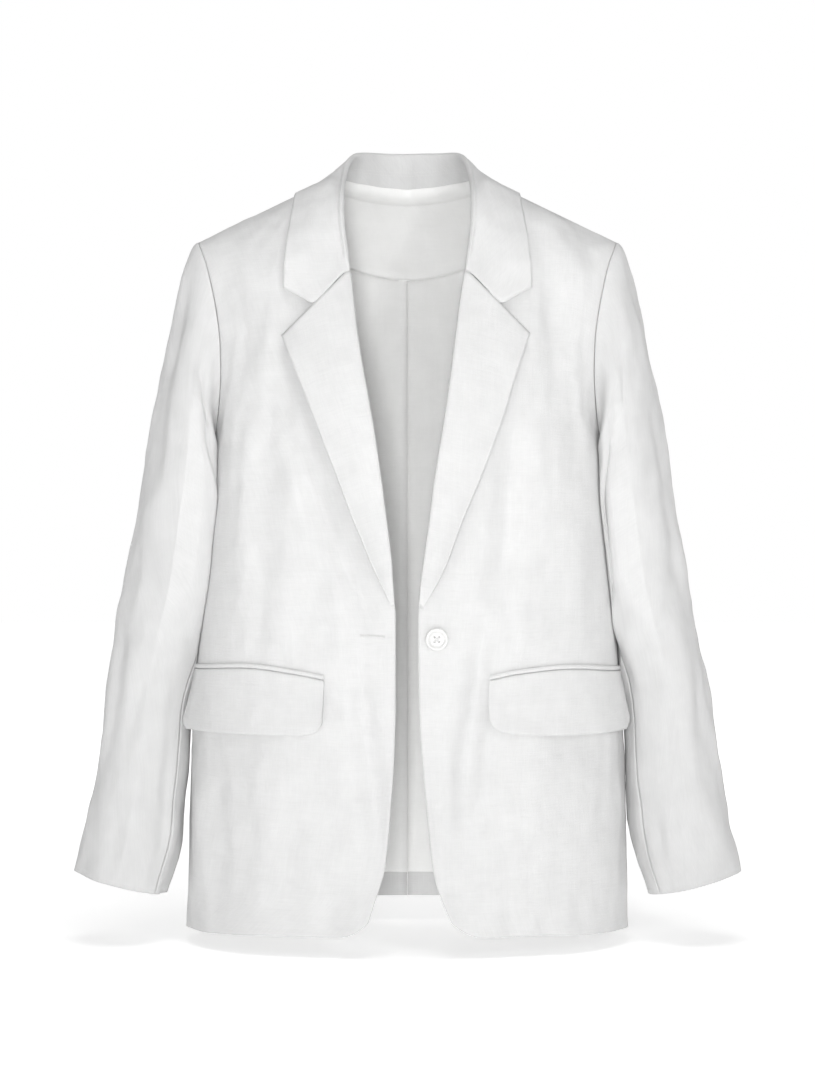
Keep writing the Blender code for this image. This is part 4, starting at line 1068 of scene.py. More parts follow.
@dataclass(frozen=True)
class CollarCut:
    """Grid of the collar: stand, fold and fall in one, from notch to notch."""

    notch: tuple[float, float] = (0.088, -0.1282)
    point: tuple[float, float] = (0.117, -0.1135)
    fold_radius: float = 0.0032
    shoulder_lift: float = 0.0023
    stand_seam: float = 0.0004
    back_sag: float = 0.35  # how the fall bends in below the fold at the back
    front_swell: float = -0.12  # and out beside the neck
    swell_run: tuple[float, float] = (0.02, 0.03)
    rise_off: tuple[float, float, float] = (0.72, 0.0, 0.7)  # from the lapel, at its end
    section_counts: tuple[int, ...] = (6, 6, 4, 4, 7, 7, 7, 7)
    station_steps: int = 2
    fine: int = 8

    def neck(self, side: Side, p: float) -> Array:
        """Point of the neckline; p counts its corners from the centre back."""
        top = np.array([float(BODY_ROWS + ARMHOLE_ROWS)])
        back = CUT.plain(Face.BACK, side, top, np.arange(CUT.neck_columns + 1.0))[0]
        front = front_edge_path(side)[::-1][1:ARMHOLE_ROWS]
        path = np.concatenate([back, front])
        return np.array([np.interp(p, np.arange(len(path)), path[:, k]) for k in range(3)])

    def section(self, fold: Array, edge: Array, rise: float, neck: Array) -> Path:
        """Face points of one section.

        Args:
            fold: Top of the fold.
            edge: Point of the free edge.
            rise: Share of upright in the stand's direction.
            neck: Point of the neckline below it.

        Returns:
            Points up the stand, over the fold and down the fall.
        """
        up = unit(np.array([0.0, -(1 - rise), rise]))
        out = edge - fold
        out = unit(out - up * float(out @ up))
        foot = neck - out * (CLOTH + self.stand_seam) + up * (SEAM + self.stand_seam * rise)
        inside = fold - (out + up) * self.fold_radius
        outside = fold + (out - up * 0.8) * self.fold_radius
        start, run = self.swell_run
        sag = float(blend(self.back_sag, self.front_swell, ease((fold[0] - start) / run)))
        elbow = blend(outside, edge, 0.35) - up * sag * float((outside - edge) @ up)
        fall = []
        for t in (0.25, 0.5, 0.75, 1.0):
            bent = (1 - t) ** 2 * outside + 2 * (1 - t) * t * elbow + t * t * edge
            fall.append(TORSO.clear(bent, self.shoulder_lift))
        return np.array([foot, blend(foot, inside, 0.5), inside, fold, outside] + fall)

    def end(self, side: Side) -> Path:
        """The collar's end: over the roll, along the gorge seam, then to its point.

        Args:
            side: Wearer's side.

        Returns:
            Its face points.
        """
        row = LAPEL.row(side, 1.0, np.array([ROLL_END]))
        lift = np.array(self.rise_off) * SEAM
        start = row[:3] + lift
        notch = TORSO.point(*self.notch, LAPEL.lift, side) + lift
        tip = TORSO.point(*self.point, LAPEL.lift, side)
        rolled = row[3] + lift
        fall = [blend(rolled, notch, 0.5)] + [blend(notch, tip, t) for t in (0.0, 0.5, 1.0)]
        fall = [TORSO.point(p[0], p[2], LAPEL.lift, side) for p in fall]
        return np.array([start[0], blend(start[0], start[1], 0.5), *start[1:], rolled, *fall])

    def half(self, side: Side) -> Grid:
        """Coarse sections from the centre back to the notch.

        Args:
            side: Wearer's side.

        Returns:
            One row of points for each section.
        """
        table = np.array([(*s.fold, *s.edge, s.rise) for s in COLLAR_STATIONS])
        sections = []
        for step in range((len(table) - 1) * self.station_steps + 1):
            p = step / self.station_steps
            row = [rounded(table[:, k], p, k in (0, 3)) for k in range(table.shape[1])]
            fold, edge = np.array(row[:3]), np.array(row[3:6])
            sections.append(self.section(fold, edge, row[6], self.neck(side, p)))
        sections.append(self.end(side))
        return np.array(sections)

    def whole(self) -> Grid:
        """Fine grid from the wearer's right notch round to the left one."""
        right = Side.RIGHT.place(self.half(Side.RIGHT))
        left = Side.LEFT.place(self.half(Side.LEFT))
        coarse = np.concatenate([right[:0:-1], left])
        stations = spread((self.fine,) * (len(coarse) - 1))
        return smooth_grid(coarse, stations, spread(self.section_counts))


def rounded(values: Array, at: float, odd: bool) -> float:
    """Smooth curve through evenly spaced values, mirrored at the centre back.

    Args:
        values: One value for each station.
        at: Place between them.
        odd: Whether the values change sign on the other side.

    Returns:
        The value at that place.
    """
    i = int(min(at, len(values) - 2))
    t = at - i
    before = values[i - 1] if i else (-values[1] if odd else values[1])
    after = values[i + 2] if i + 2 < len(values) else 2 * values[i + 1] - values[i]
    a, b = values[i], values[i + 1]
    return 0.5 * (2 * a + (b - before) * t + (2 * before - 5 * a + 4 * b - after) * t * t
                  + (3 * a - before - 3 * b + after) * t**3)


COLLAR = CollarCut()


class Nodes:
    """Short way to add and join the nodes of one tree."""

    def __init__(self, tree: bpy.types.NodeTree) -> None:
        """Starts on a tree that exists."""
        self.tree = tree

    def add(self, kind: str, settings: dict | None = None,
            **values: Socket | float | tuple | bpy.types.ID) -> bpy.types.Node:
        """Adds one node.

        Args:
            kind: Blender's name for the kind of node.
            settings: Values of the node's own settings.
            **values: Values or links of its inputs, an underscore standing for a space.

        Returns:
            The node.
        """
        node = self.tree.nodes.new(kind)
        for name, value in (settings or {}).items():
            setattr(node, name, value)
        for name, value in values.items():
            self.join(value, node.inputs[name.replace("_", " ")])
        return node

    def join(self, value: Socket | float | tuple | bpy.types.ID,
             socket: Socket) -> None:
        """Links a socket to an input, or sets the input's own value."""
        if isinstance(value, Socket):
            self.tree.links.new(value, socket)
        else:
            socket.default_value = value

    def math(self, operation: str, first: Socket | float,
             second: Socket | float = 0.0) -> Socket:
        """Output of a Math node on two values or sockets."""
        node = self.add("ShaderNodeMath", {"operation": operation})
        for value, socket in zip((first, second), node.inputs):
            self.join(value, socket)
        return node.outputs[0]

    def total(self, *parts: tuple[Socket, float]) -> Socket:
        """Adds sockets up, each times its share.

        Args:
            *parts: Pairs of a socket and its share.

        Returns:
            The sum's socket.
        """
        result = self.math("MULTIPLY", *parts[0])
        for part in parts[1:]:
            result = self.math("ADD", result, self.math("MULTIPLY", *part))
        return result


@dataclass(frozen=True)
class Finish:
    """A finish whose tones run from its colour down to a shade of it."""

    name: str
    colour: tuple[float, float, float]
    shade: float  # how far the darkest tone lies below the colour
    contrast: float  # half of the span of its pattern that the tones cover
    relief: float  # height of its pattern
    roughness: float

    def pattern(self, nodes: Nodes) -> tuple[Socket, Socket]:
        """Adds the pattern, as the subclass has it.

        Args:
            nodes: The material's tree.

        Returns:
            Sockets of its tone and of its height.
        """
        raise NotImplementedError

    def gloss(self) -> dict[str, float]:
        """The rest of the shader's inputs."""
        raise NotImplementedError

    def build(self) -> bpy.types.Material:
        """Makes the material.

        Returns:
            The material.
        """
        made = bpy.data.materials.new(self.name)
        made.use_nodes = True
        made.node_tree.nodes.clear()
        nodes = Nodes(made.node_tree)
        tone, height = self.pattern(nodes)
        ramp = nodes.add("ShaderNodeValToRGB", Fac=tone)
        dark = tuple(channel * (1 - self.shade) for channel in self.colour)
        for stop, way, colour in zip(ramp.color_ramp.elements, (-1, 1), (dark, self.colour)):
            stop.position = 0.5 + way * self.contrast
            stop.color = (*colour, 1.0)
        bump = nodes.add("ShaderNodeBump", Height=height, Distance=self.relief)
        shader = nodes.add("ShaderNodeBsdfPrincipled", Base_Color=ramp.outputs[0],
                           Normal=bump.outputs[0], Roughness=self.roughness, **self.gloss())
        nodes.add("ShaderNodeOutputMaterial", Surface=shader.outputs[0])
        return made


@dataclass(frozen=True)
class Cloth(Finish):
    """A woven finish whose threads follow the cut of each piece."""

    thread: float  # distance between threads
    slub: float  # length of a thick place in a thread
    sheen: float
    cloud: float = 50.0  # soft patches in each metre

    def stretched(self, nodes: Nodes, source: Socket, across: float,
                  along: float, detail: float = 1.0) -> Socket:
        """Noise drawn out along one set of threads.

        Args:
            nodes: The tree.
            source: Coordinates on the cloth, in metres.
            across: Width of its spots.
            along: Length of its spots.
            detail: Octaves of noise.

        Returns:
            The noise's value.
        """
        turn = nodes.add("ShaderNodeMapping", Vector=source, Scale=(1 / across, 1 / along, 1.0))
        spots = nodes.add("ShaderNodeTexNoise", {"noise_dimensions": "2D"},
                          Vector=turn.outputs[0], Scale=1.0, Detail=detail, Roughness=0.55)
        return spots.outputs["Fac"]

    def pattern(self, nodes: Nodes) -> tuple[Socket, Socket]:
        """Adds uneven threads both ways, broader bands of them and soft patches.

        Args:
            nodes: The material's tree.

        Returns:
            Sockets of its tone and of its height.
        """
        thread, slub = self.thread, self.slub
        cloth = nodes.add("ShaderNodeUVMap", {"uv_map": "cloth"}).outputs[0]
        place = nodes.add("ShaderNodeTexCoord").outputs["Object"]
        threads = nodes.total((self.stretched(nodes, cloth, thread, slub), 0.5),
                              (self.stretched(nodes, cloth, slub, thread), 0.5))
        broad = nodes.total((self.stretched(nodes, cloth, thread * 5, slub * 6, 2.0), 0.5),
                            (self.stretched(nodes, cloth, slub * 5, thread * 4, 2.0), 0.5))
        cloudy = nodes.add("ShaderNodeTexNoise", Vector=place, Scale=self.cloud, Detail=4.0,
                           Roughness=0.5).outputs["Fac"]
        tone = nodes.total((threads, 0.38), (broad, 0.24), (cloudy, 0.38))
        weave = self.weave(nodes, cloth)
        return tone, nodes.total((weave, 0.5), (threads, 1.0), (broad, 1.2))

    def weave(self, nodes: Nodes, source: Socket) -> Socket:
        """Height of the plain weave: threads that cross over and under each other."""
        apart = nodes.add("ShaderNodeSeparateXYZ", Vector=source)
        turn = math.pi / self.thread
        over, under = (nodes.math("SINE", nodes.math("MULTIPLY", apart.outputs[way], turn))
                       for way in (0, 1))
        return nodes.math("ABSOLUTE", nodes.math("MULTIPLY", over, under))

    def gloss(self) -> dict[str, float]:
        """The rest of the shader's inputs."""
        return {"Sheen_Weight": self.sheen, "Sheen_Roughness": 0.5, "Specular_IOR_Level": 0.25}


@dataclass(frozen=True)
class Polish(Finish):
    """A hard or twisted finish: the button, its thread and the sewing."""

    grain: float
    coat: float = 0.0

    def pattern(self, nodes: Nodes) -> tuple[Socket, Socket]:
        """Adds a soft cloudy grain.

        Args:
            nodes: The material's tree.

        Returns:
            Sockets of its tone and of its height.
        """
        place = nodes.add("ShaderNodeTexCoord").outputs["Object"]
        turn = nodes.add("ShaderNodeMapping", Vector=place, Scale=(1.0, 1.0, 2.4))
        cloudy = nodes.add("ShaderNodeTexNoise", Vector=turn.outputs[0], Scale=1 / self.grain,
                           Detail=3.0, Distortion=0.6).outputs["Fac"]
        return cloudy, cloudy

    def gloss(self) -> dict[str, float]:
        """The rest of the shader's inputs."""
        return {"Coat_Weight": self.coat, "Coat_Roughness": 0.2}


LINEN = Cloth("off_white_linen", (0.72, 0.72, 0.718), 0.1, 0.16, 0.00016, 0.92,
              thread=0.0007, slub=0.013, sheen=0.12)
# Lining cloth: white of its own, and painted lighter than the linen as painted light for the
# inside of the coat, where less lamp light falls; its slight warm tint is painted shade.
LINING_CLOTH_PAINTED_LIGHTER = Cloth("white_lining_painted_lighter", (0.94, 0.94, 0.93), 0.06, 0.16, 0.00008, 0.7,
                     thread=0.0005, slub=0.01, sheen=0.1)
BUTTON_FINISH = Polish("white_button", (0.72, 0.72, 0.71), 0.08, 0.15, 0.00004, 0.34,
                       grain=0.004, coat=0.25)
THREAD = Polish("white_thread", (0.76, 0.76, 0.755), 0.08, 0.15, 0.00008, 0.85, grain=0.0008)


@lru_cache(maxsize=None)
def finish(kind: Finish) -> bpy.types.Material:
    """The one material of a finish."""
    return kind.build()


def linked(name: str, data: bpy.types.ID) -> bpy.types.Object:
    """New object in the scene that shows some data.

    Args:
        name: Name of the object.
        data: Its mesh, lamp or camera.

    Returns:
        The object.
    """
    thing = bpy.data.objects.new(name, data)
    bpy.context.scene.collection.objects.link(thing)
    return thing


def mesh_object(name: str, points: Array, faces: list[tuple[int, ...]],
                kind: Finish) -> bpy.types.Object:
    """Links a smooth mesh object whose faces point outwards.

    Args:
        name: Name of the object.
        points: Its vertices.
        faces: Its faces.
        kind: Its finish.

    Returns:
        The object.
    """
    mesh = bpy.data.meshes.new(name)
    mesh.from_pydata([tuple(point) for point in points], [], faces)
    mesh.calc_loop_triangles()
    corners = points[np.array([tuple(face.vertices) for face in mesh.loop_triangles])]
    volume = np.einsum("ij,ij->", corners[:, 0], np.cross(corners[:, 1], corners[:, 2]))
    if volume < 0:
        mesh.flip_normals()
    mesh.shade_smooth()
    mesh.materials.append(finish(kind))
    return linked(name, mesh)


def joined(whole: bpy.types.Object, other: bpy.types.Object) -> None:
    """Moves one object's mesh into another's, as a part of the same piece.

    Args:
        whole: The object that stays.
        other: The object that goes.
    """
    both = bmesh.new()
    both.from_mesh(whole.data)
    both.from_mesh(other.data)
    both.to_mesh(whole.data)
    both.free()
    bpy.data.objects.remove(other, do_unlink=True)


def border_of(rows: int, columns: int) -> list[int]:
    """Numbers of a grid's border points, in order round it."""
    border = list(range(columns))
    border += [r * columns + columns - 1 for r in range(1, rows)]
    border += [(rows - 1) * columns + c for c in range(columns - 2, -1, -1)]
    border += [r * columns for r in range(rows - 2, 0, -1)]
    return border


@dataclass(frozen=True)
class Wall:
    """A cloth piece: the wall between an outer and an inner grid, with soft edges."""

    name: str
    outer: Grid
    inner: Grid
    kind: Cloth
    turn_in: float = TURN_IN  # how far the faces stop short of the rounded edge

    def build(self) -> bpy.types.Object:
        """Makes the piece as one closed shell with its cloth coordinates.

        Returns:
            The piece.
        """
        rows, columns = self.outer.shape[:2]
        count = rows * columns
        border = border_of(rows, columns)
        rim = (self.outer.reshape(-1, 3)[border] + self.inner.reshape(-1, 3)[border]) / 2
        points = np.concatenate([self.softened(self.outer).reshape(-1, 3),
                                 self.softened(self.inner).reshape(-1, 3), rim])
        first = np.arange(count).reshape(rows, columns)
        a, b = first[:-1, :-1].ravel(), first[:-1, 1:].ravel()
        d, e = first[1:, :-1].ravel(), first[1:, 1:].ravel()
        faces = list(zip(a.tolist(), b.tolist(), e.tolist(), d.tolist()))
        faces += [(q + count, p + count, s + count, r + count)
                  for p, q, r, s in faces]
        for i, corner in enumerate(border):
            j = (i + 1) % len(border)
            here, there = 2 * count + i, 2 * count + j
            faces.append((corner, here, there, border[j]))
            faces.append((here, count + corner, count + border[j], there))
        thing = mesh_object(self.name, points, faces, self.kind)
        self.lay_threads(thing.data, border)
        return thing

    def softened(self, grid: Grid) -> Grid:
        """Draws a grid's border in, to leave room for the rounded edge.

        Args:
            grid: The grid.

        Returns:
            The smaller grid.
        """
        soft = grid.copy()
        for line, beside in ((np.s_[0], np.s_[1]), (np.s_[-1], np.s_[-2]),
                             (np.s_[:, 0], np.s_[:, 1]), (np.s_[:, -1], np.s_[:, -2])):
            inward = grid[beside] - grid[line]
            length = np.maximum(np.linalg.norm(inward, axis=-1, keepdims=True), 1e-9)
            soft[line] = soft[line] + inward / length * np.minimum(self.turn_in, length / 2)
        return soft

    def lay_threads(self, mesh: bpy.types.Mesh, border: list[int]) -> None:
        """Adds cloth coordinates in metres, across and along the piece.

        Args:
            mesh: Its mesh.
            border: Numbers of its border points.
        """
        across = arc_lengths(self.outer, 1) + self.outer[:, :1, 0]
        along = arc_lengths(self.outer, 0) + self.outer[:1, :, 2]
        flat = np.stack([across, along], axis=-1).reshape(-1, 2)
        flat = np.concatenate([flat, flat, flat[border]])
        layer = mesh.uv_layers.new(name="cloth")
        corners = np.empty(len(mesh.loops), dtype=np.int32)
        mesh.loops.foreach_get("vertex_index", corners)
        layer.data.foreach_set("uv", flat[corners].astype(np.float32).ravel())


@dataclass(frozen=True)
class Cut:
    """What a maker would lay flat for one cloth piece."""

    width: float
    length: float
    area: float


def dress(thing: bpy.types.Object, nodes: tuple[str, ...]) -> bpy.types.Object:
    """Hands a finished piece to the frame.

    Args:
        thing: The piece.
        nodes: Solids that it stands for.

    Returns:
        The piece.
    """
    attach(thing, BODY)
    if nodes:
        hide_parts(*nodes)
    area = sum(face.area for face in thing.data.polygons) / 2
    LOG.info("%s: %d faces, %.4f m2 a side", thing.name, len(thing.data.polygons), area)
    return thing


def shell_piece(node: str, outer: Grid, inner: Grid,
                turn_in: float = EDGE) -> None:
    """Makes and dresses one linen piece of the shell.

    Args:
        node: Solid that it stands for.
        outer: Its outer grid.
        inner: Its inner grid.
        turn_in: Rounding of its edges.
    """
    wall = Wall(f"{node}_linen", outer, inner, LINEN, turn_in)
    dress(wall.build(), (node,))


@dataclass
class Sewing:
    """Thread laid along lines by a Geometry Nodes tree; the subclasses say how it lies."""

    thickness: float = 0.00045
    sizes: dict[str, float] = field(default_factory=dict)

    def lay(self, nodes: Nodes, line: Socket,
            given: bpy.types.NodeOutputs) -> Socket:
        """Adds the nodes that turn the lines into thread.

        Args:
            nodes: The tree.
            line: Output that carries the lines as curves.
            given: The tree's inputs.

        Returns:
            Output that carries the thread.
        """
        raise NotImplementedError

    def tree(self, kind: Finish) -> bpy.types.NodeTree:
        """Builds the tree, with one named input for each size.

        Args:
            kind: Finish of the thread.

        Returns:
            The tree.
        """
        tree = bpy.data.node_groups.new("sewing", "GeometryNodeTree")
        face = tree.interface
        face.new_socket("Line", in_out="INPUT", socket_type="NodeSocketGeometry")
        for name in self.sizes:
            face.new_socket(name, in_out="INPUT", socket_type="NodeSocketFloat")
        face.new_socket("Thread", in_out="OUTPUT", socket_type="NodeSocketGeometry")
        nodes = Nodes(tree)
        given = nodes.add("NodeGroupInput").outputs
        line = nodes.add("GeometryNodeMeshToCurve", Mesh=given["Line"]).outputs[0]
        laid = self.lay(nodes, line, given)
        real = nodes.add("GeometryNodeRealizeInstances", Geometry=laid).outputs[0]
        smooth = nodes.add("GeometryNodeSetShadeSmooth", Geometry=real).outputs[0]
        dyed = nodes.add("GeometryNodeSetMaterial", Geometry=smooth, Material=finish(kind))
        nodes.add("NodeGroupOutput", Thread=dyed.outputs[0])
        return tree

    def sew(self, name: str, lines: list[Path], kind: Finish) -> bpy.types.Object:
        """Lays thread along lines and turns it into one plain mesh.

        Args:
            name: Name of the piece.
            lines: Points of each line.
            kind: Finish of the thread.

        Returns:
            The piece.
        """
        points = [tuple(point) for line in lines for point in line]
        edges, base = [], 0
        for line in lines:
            edges += [(base + i, base + i + 1) for i in range(len(line) - 1)]
            base += len(line)
        guide_mesh = bpy.data.meshes.new(f"{name}_line")
        guide_mesh.from_pydata(points, edges, [])
        guide = linked(f"{name}_line", guide_mesh)
        modifier = guide.modifiers.new("sewing", "NODES")
        modifier.node_group = self.tree(kind)
        for item in modifier.node_group.interface.items_tree:
            if item.in_out == "INPUT" and item.name in self.sizes:
                modifier[item.identifier] = self.sizes[item.name]
        graph = bpy.context.evaluated_depsgraph_get()
        mesh = bpy.data.meshes.new_from_object(guide.evaluated_get(graph))
        mesh.name = name
        thing = linked(name, mesh)
        guide.modifiers.remove(modifier)
        bpy.data.objects.remove(guide, do_unlink=True)
        return thing


@dataclass
class RunningStitch(Sewing):
    """Separate rounded stitches along a seam."""

    length: float = 0.0022
    pitch: float = 0.0028

    def __post_init__(self) -> None:
        """Names the tree's inputs."""
        self.sizes = {"Length": self.length, "Pitch": self.pitch, "Thickness": self.thickness}

    def lay(self, nodes: Nodes, line: Socket,
            given: bpy.types.NodeOutputs) -> Socket:
        """Sets one bead at every pitch of the line, turned along it.

        Args:
            nodes: The tree.
            line: Output that carries the lines as curves.
            given: The tree's inputs.

        Returns:
            Output that carries the beads.
        """
        spaced = nodes.add("GeometryNodeResampleCurve", {"mode": "LENGTH"}, Curve=line,
                           Length=given["Pitch"]).outputs[0]
        tangent = nodes.add("GeometryNodeInputTangent").outputs[0]
        turned = nodes.add("FunctionNodeAlignRotationToVector", {"axis": "Z"},
                           Vector=tangent).outputs[0]
        bead = nodes.add("GeometryNodeMeshUVSphere", Segments=6, Rings=4, Radius=0.5).outputs[0]
        size = nodes.add("ShaderNodeCombineXYZ", X=given["Thickness"], Y=given["Thickness"],
                         Z=given["Length"]).outputs[0]
        return nodes.add("GeometryNodeInstanceOnPoints", Points=spaced, Instance=bead,
                         Rotation=turned, Scale=size).outputs[0]


@dataclass
class ThreadRun(Sewing):
    """Thread that runs along each line from end to end."""

    def __post_init__(self) -> None:
        """Names the tree's inputs."""
        self.sizes = {"Thickness": self.thickness}

    def lay(self, nodes: Nodes, line: Socket,
            given: bpy.types.NodeOutputs) -> Socket:
        """Sweeps a round section along the line.

        Args:
            nodes: The tree.
            line: Output that carries the lines as curves.
            given: The tree's inputs.

        Returns:
            Output that carries the swept thread.
        """
        radius = nodes.math("MULTIPLY", given["Thickness"], 0.5)
        ring = nodes.add("GeometryNodeCurvePrimitiveCircle", Resolution=6, Radius=radius)
        return nodes.add("GeometryNodeCurveToMesh", Curve=line, Profile_Curve=ring.outputs[0],
                         Fill_Caps=True).outputs[0]


@dataclass
class Body:
    """The two fronts and the two halves of the back."""

    front_cut: Cut = Cut(0.3, 0.775, 0.16)
    back_cut: Cut = Cut(0.285, 0.78, 0.178)

    def build(self) -> None:
        """Makes and dresses the four pieces."""
        for side in Side:
            self.piece(Face.FRONT, side, self.front_cut, (f"back_{side.word}", "collar"))
            self.piece(Face.BACK, side, self.back_cut, (f"front_{side.word}", "collar"))

    def piece(self, face: Face, side: Side, cut: Cut, rests_on: tuple[str, ...]) -> None:
        """Makes one piece.

        Args:
            face: Front or back.
            side: Wearer's side.
            cut: Its flat cut; not used.
            rests_on: Nodes that it hangs from; not used.
        """
        outer, found = body_piece(face, side)
        node = f"{face.name.lower()}_{side.word}"
        shell_piece(node, side.place(outer), side.place(outer - found * CLOTH))


@dataclass
class Inside:
    """The back neck facing and the two halves of the back lining."""

    facing_row: int = 7  # armhole row that the facing ends on
    facing_half: float = 0.112
    rolled: float = 0.0016  # how far the facing's turned lower edge stands out
    side_columns: int = 3  # back columns that the lining leaves bare
    lining_hem: float = -0.688
    pleat: float = 0.0032  # height of the fold that overlaps at the centre
    pleat_width: float = 0.006
    pleat_tuck: float = 0.003  # how far the other half reaches under it
    bound: float = 0.0005  # thickness of the facing's bound edge
    proud: tuple[float, float, float] = (0.0018, 0.0008, 0.0004)  # of it on the stand
    laid: tuple[float, float, float] = (0.0003, 0.0005, 0.0006)  # of it on the facing
    looseness: float = 0.5  # share of the shell's waves that the lining has
    ease_out: float = 0.0012  # how far the lining stands off the back
    lining_turn: float = 0.0001  # rounding of its edges
    facing_cut: Cut = Cut(0.295, 0.13, 0.0246)
    lining_cut: Cut = Cut(0.215, 0.625, 0.118)

    def build(self) -> None:
        """Makes and dresses the facing and both linings."""
        self.facing()
        for side in Side:
            self.lining(side)

    def layer(self, side: Side, distance: float) -> Grid:
        """A back half's own surface, moved inwards by a distance."""
        outer, found = body_piece(Face.BACK, side)
        return outer - found * distance

    def facing(self) -> None:
        """The facing: one piece across both back halves, over the lining."""
        first = (BODY_ROWS + self.facing_row) * ROW_STEPS
        layers = []
        for distance in (CLOTH + LAYER, CLOTH + LAYER + LINING):
            halves = []
            for side in (Side.RIGHT, Side.LEFT):
                tops = CUT.top_x(np.arange(CUT.back_columns + 1.0))
                last = (int(np.searchsorted(tops, self.facing_half)) - 1) * COLUMN_STEPS
                grid = self.layer(side, distance)[first:, :last + 1].copy()
                grid[-1] = blend(grid[-1], grid[-2], 0.08)
                edge = np.exp(-(np.arange(len(grid)) / 1.2) ** 2)[:, None, None]
                found = body_piece(Face.BACK, side)[1][first:, :last + 1]
                grid = grid - found * edge * self.rolled
                halves.append(side.place(grid))
            layers.append(np.concatenate([halves[0][:, :0:-1], halves[1]], axis=1))
        # The facing and its binding wear the lining cloth, painted lighter than the linen as
        # painted light for the inside.
        facing = Wall("back_neck_facing_cloth", layers[0], layers[1], LINING_CLOTH_PAINTED_LIGHTER).build()
        joined(facing, self.binding(layers[1]).build())
        dress(facing, ("back_neck_facing",))

    def binding(self, facing: Grid) -> Wall:
        """The facing's bound edge: a narrow strip over its seam with the collar's stand.

        Args:
            facing: Inner face of the facing, right half and left half in one grid.

        Returns:
            The strip.
        """
        collar, reach = COLLAR.whole(), CUT.neck_columns * COLUMN_STEPS
        middle, centre = len(collar) // 2, facing.shape[1] // 2
        turned = Collar.normals(collar)
        strips = []
        for k in range(-reach + 1, reach):
            at = middle + k / COLUMN_STEPS * COLLAR.station_steps * COLLAR.fine
            low, share = int(at), at - int(at)
            stand = blend(collar[low, :3], collar[low + 1, :3], share)
            out = unit(blend(turned[low, :3], turned[low + 1, :3], share))
            strip = facing[-3:, centre + k] + out[0] * np.array(self.laid)[:, None]
            strip = np.concatenate([strip, stand + out * np.array(self.proud)[:, None]])
            strips.append(np.stack([strip, strip + out[0] * self.bound]))
        inner, outer = np.stack(strips, axis=2)
        return Wall("neck_binding", outer, inner, LINING_CLOTH_PAINTED_LIGHTER)

    def lining(self, side: Side) -> None:
        """One half of the back lining; the right one folds over the left at the centre.

        Args:
            side: Wearer's side.
        """
        last_row = (BODY_ROWS + self.facing_row) * ROW_STEPS
        last = (CUT.back_columns - self.side_columns) * COLUMN_STEPS
        base = self.layer(side, CLOTH + LAYER)[:last_row + 1, :last + 1]
        found = body_piece(Face.BACK, side)[1][:last_row + 1, :last + 1]
        first = int(np.searchsorted(base[:, 0, 2], self.lining_hem))
        base, found = base[first:], found[first:]
        base[-1] = blend(base[-2], base[-1], 1.3)
        x, z = base[..., 0], base[..., 2]
        out = waves(base, BODY_PUCKERS, side) * self.looseness + self.ease_out
        out = out - sink_of(self.folds(side), x, z)
        out = np.maximum(out, 0.0) * fade_from(base, "last_row", 0.03)
        if side is Side.RIGHT:
            out = out + self.pleat * np.exp(-((x - self.pleat_width / 2) / self.pleat_width) ** 2)
        else:
            base[:, 0, 0] = -self.pleat_tuck
        outer = base - found * out[..., None]
        wall = Wall(f"back_lining_{side.word}_cloth", side.place(outer),
                    side.place(outer - found * LINING), LINING_CLOTH_PAINTED_LIGHTER, self.lining_turn)
        dress(wall.build(), (f"back_lining_{side.word}",))

    @staticmethod
    def folds(side: Side) -> tuple[Crease, ...]:
        """Ridges of the lining, as creases of negative depth.

        Args:
            side: Wearer's side.

        Returns:
            The ridges.
        """
        if side is Side.RIGHT:
            return creases((0.042, -0.11, 0.04, -0.29, 0.011, -0.005),
                           (0.02, -0.14, 0.022, -0.33, 0.007, -0.002),
                           (0.08, -0.22, 0.07, -0.56, 0.018, -0.005))
        return creases((0.036, -0.13, 0.04, -0.33, 0.012, -0.0042),
                       (0.072, -0.2, 0.078, -0.52, 0.016, -0.0045))


@dataclass
class Sleeves:
    """Two-piece sleeves: an upper and an under piece on each side."""

    back_seam: int = -6  # bands of the turn from the outer edge
    front_seam: int = 8
    seam_half: float = 0.00025
    upper_cut: Cut = Cut(0.27, 0.66, 0.123)
    under_cut: Cut = Cut(0.145, 0.57, 0.0445)

    def build(self) -> None:
        """Makes and dresses the four pieces."""
        for side in Side:
            outer, found = SLEEVE.dressed(side)
            turn = SLEEVE.turn_steps
            spans = {"upper_sleeve": (self.back_seam, self.front_seam, self.upper_cut),
                     "under_sleeve": (self.front_seam, turn + self.back_seam, self.under_cut)}
            for piece, (first, last, cut) in spans.items():
                steps = np.arange(first * SLEEVE.fine, last * SLEEVE.fine + 1)
                steps = steps % (turn * SLEEVE.fine)
                grid, away = self.parted(outer[:, steps]), found[:, steps]
                node = f"{piece}_{side.word}"
                shell_piece(node, side.place(grid), side.place(grid - away * CLOTH))

    def parted(self, grid: Grid) -> Grid:
        """The grid with both long edges drawn back by half a seam gap."""
        apart = grid.copy()
        for line, beside in ((0, 1), (-1, -2)):
            inward = unit(grid[:, beside] - grid[:, line])
            apart[:, line] = grid[:, line] + inward * self.seam_half
        return apart


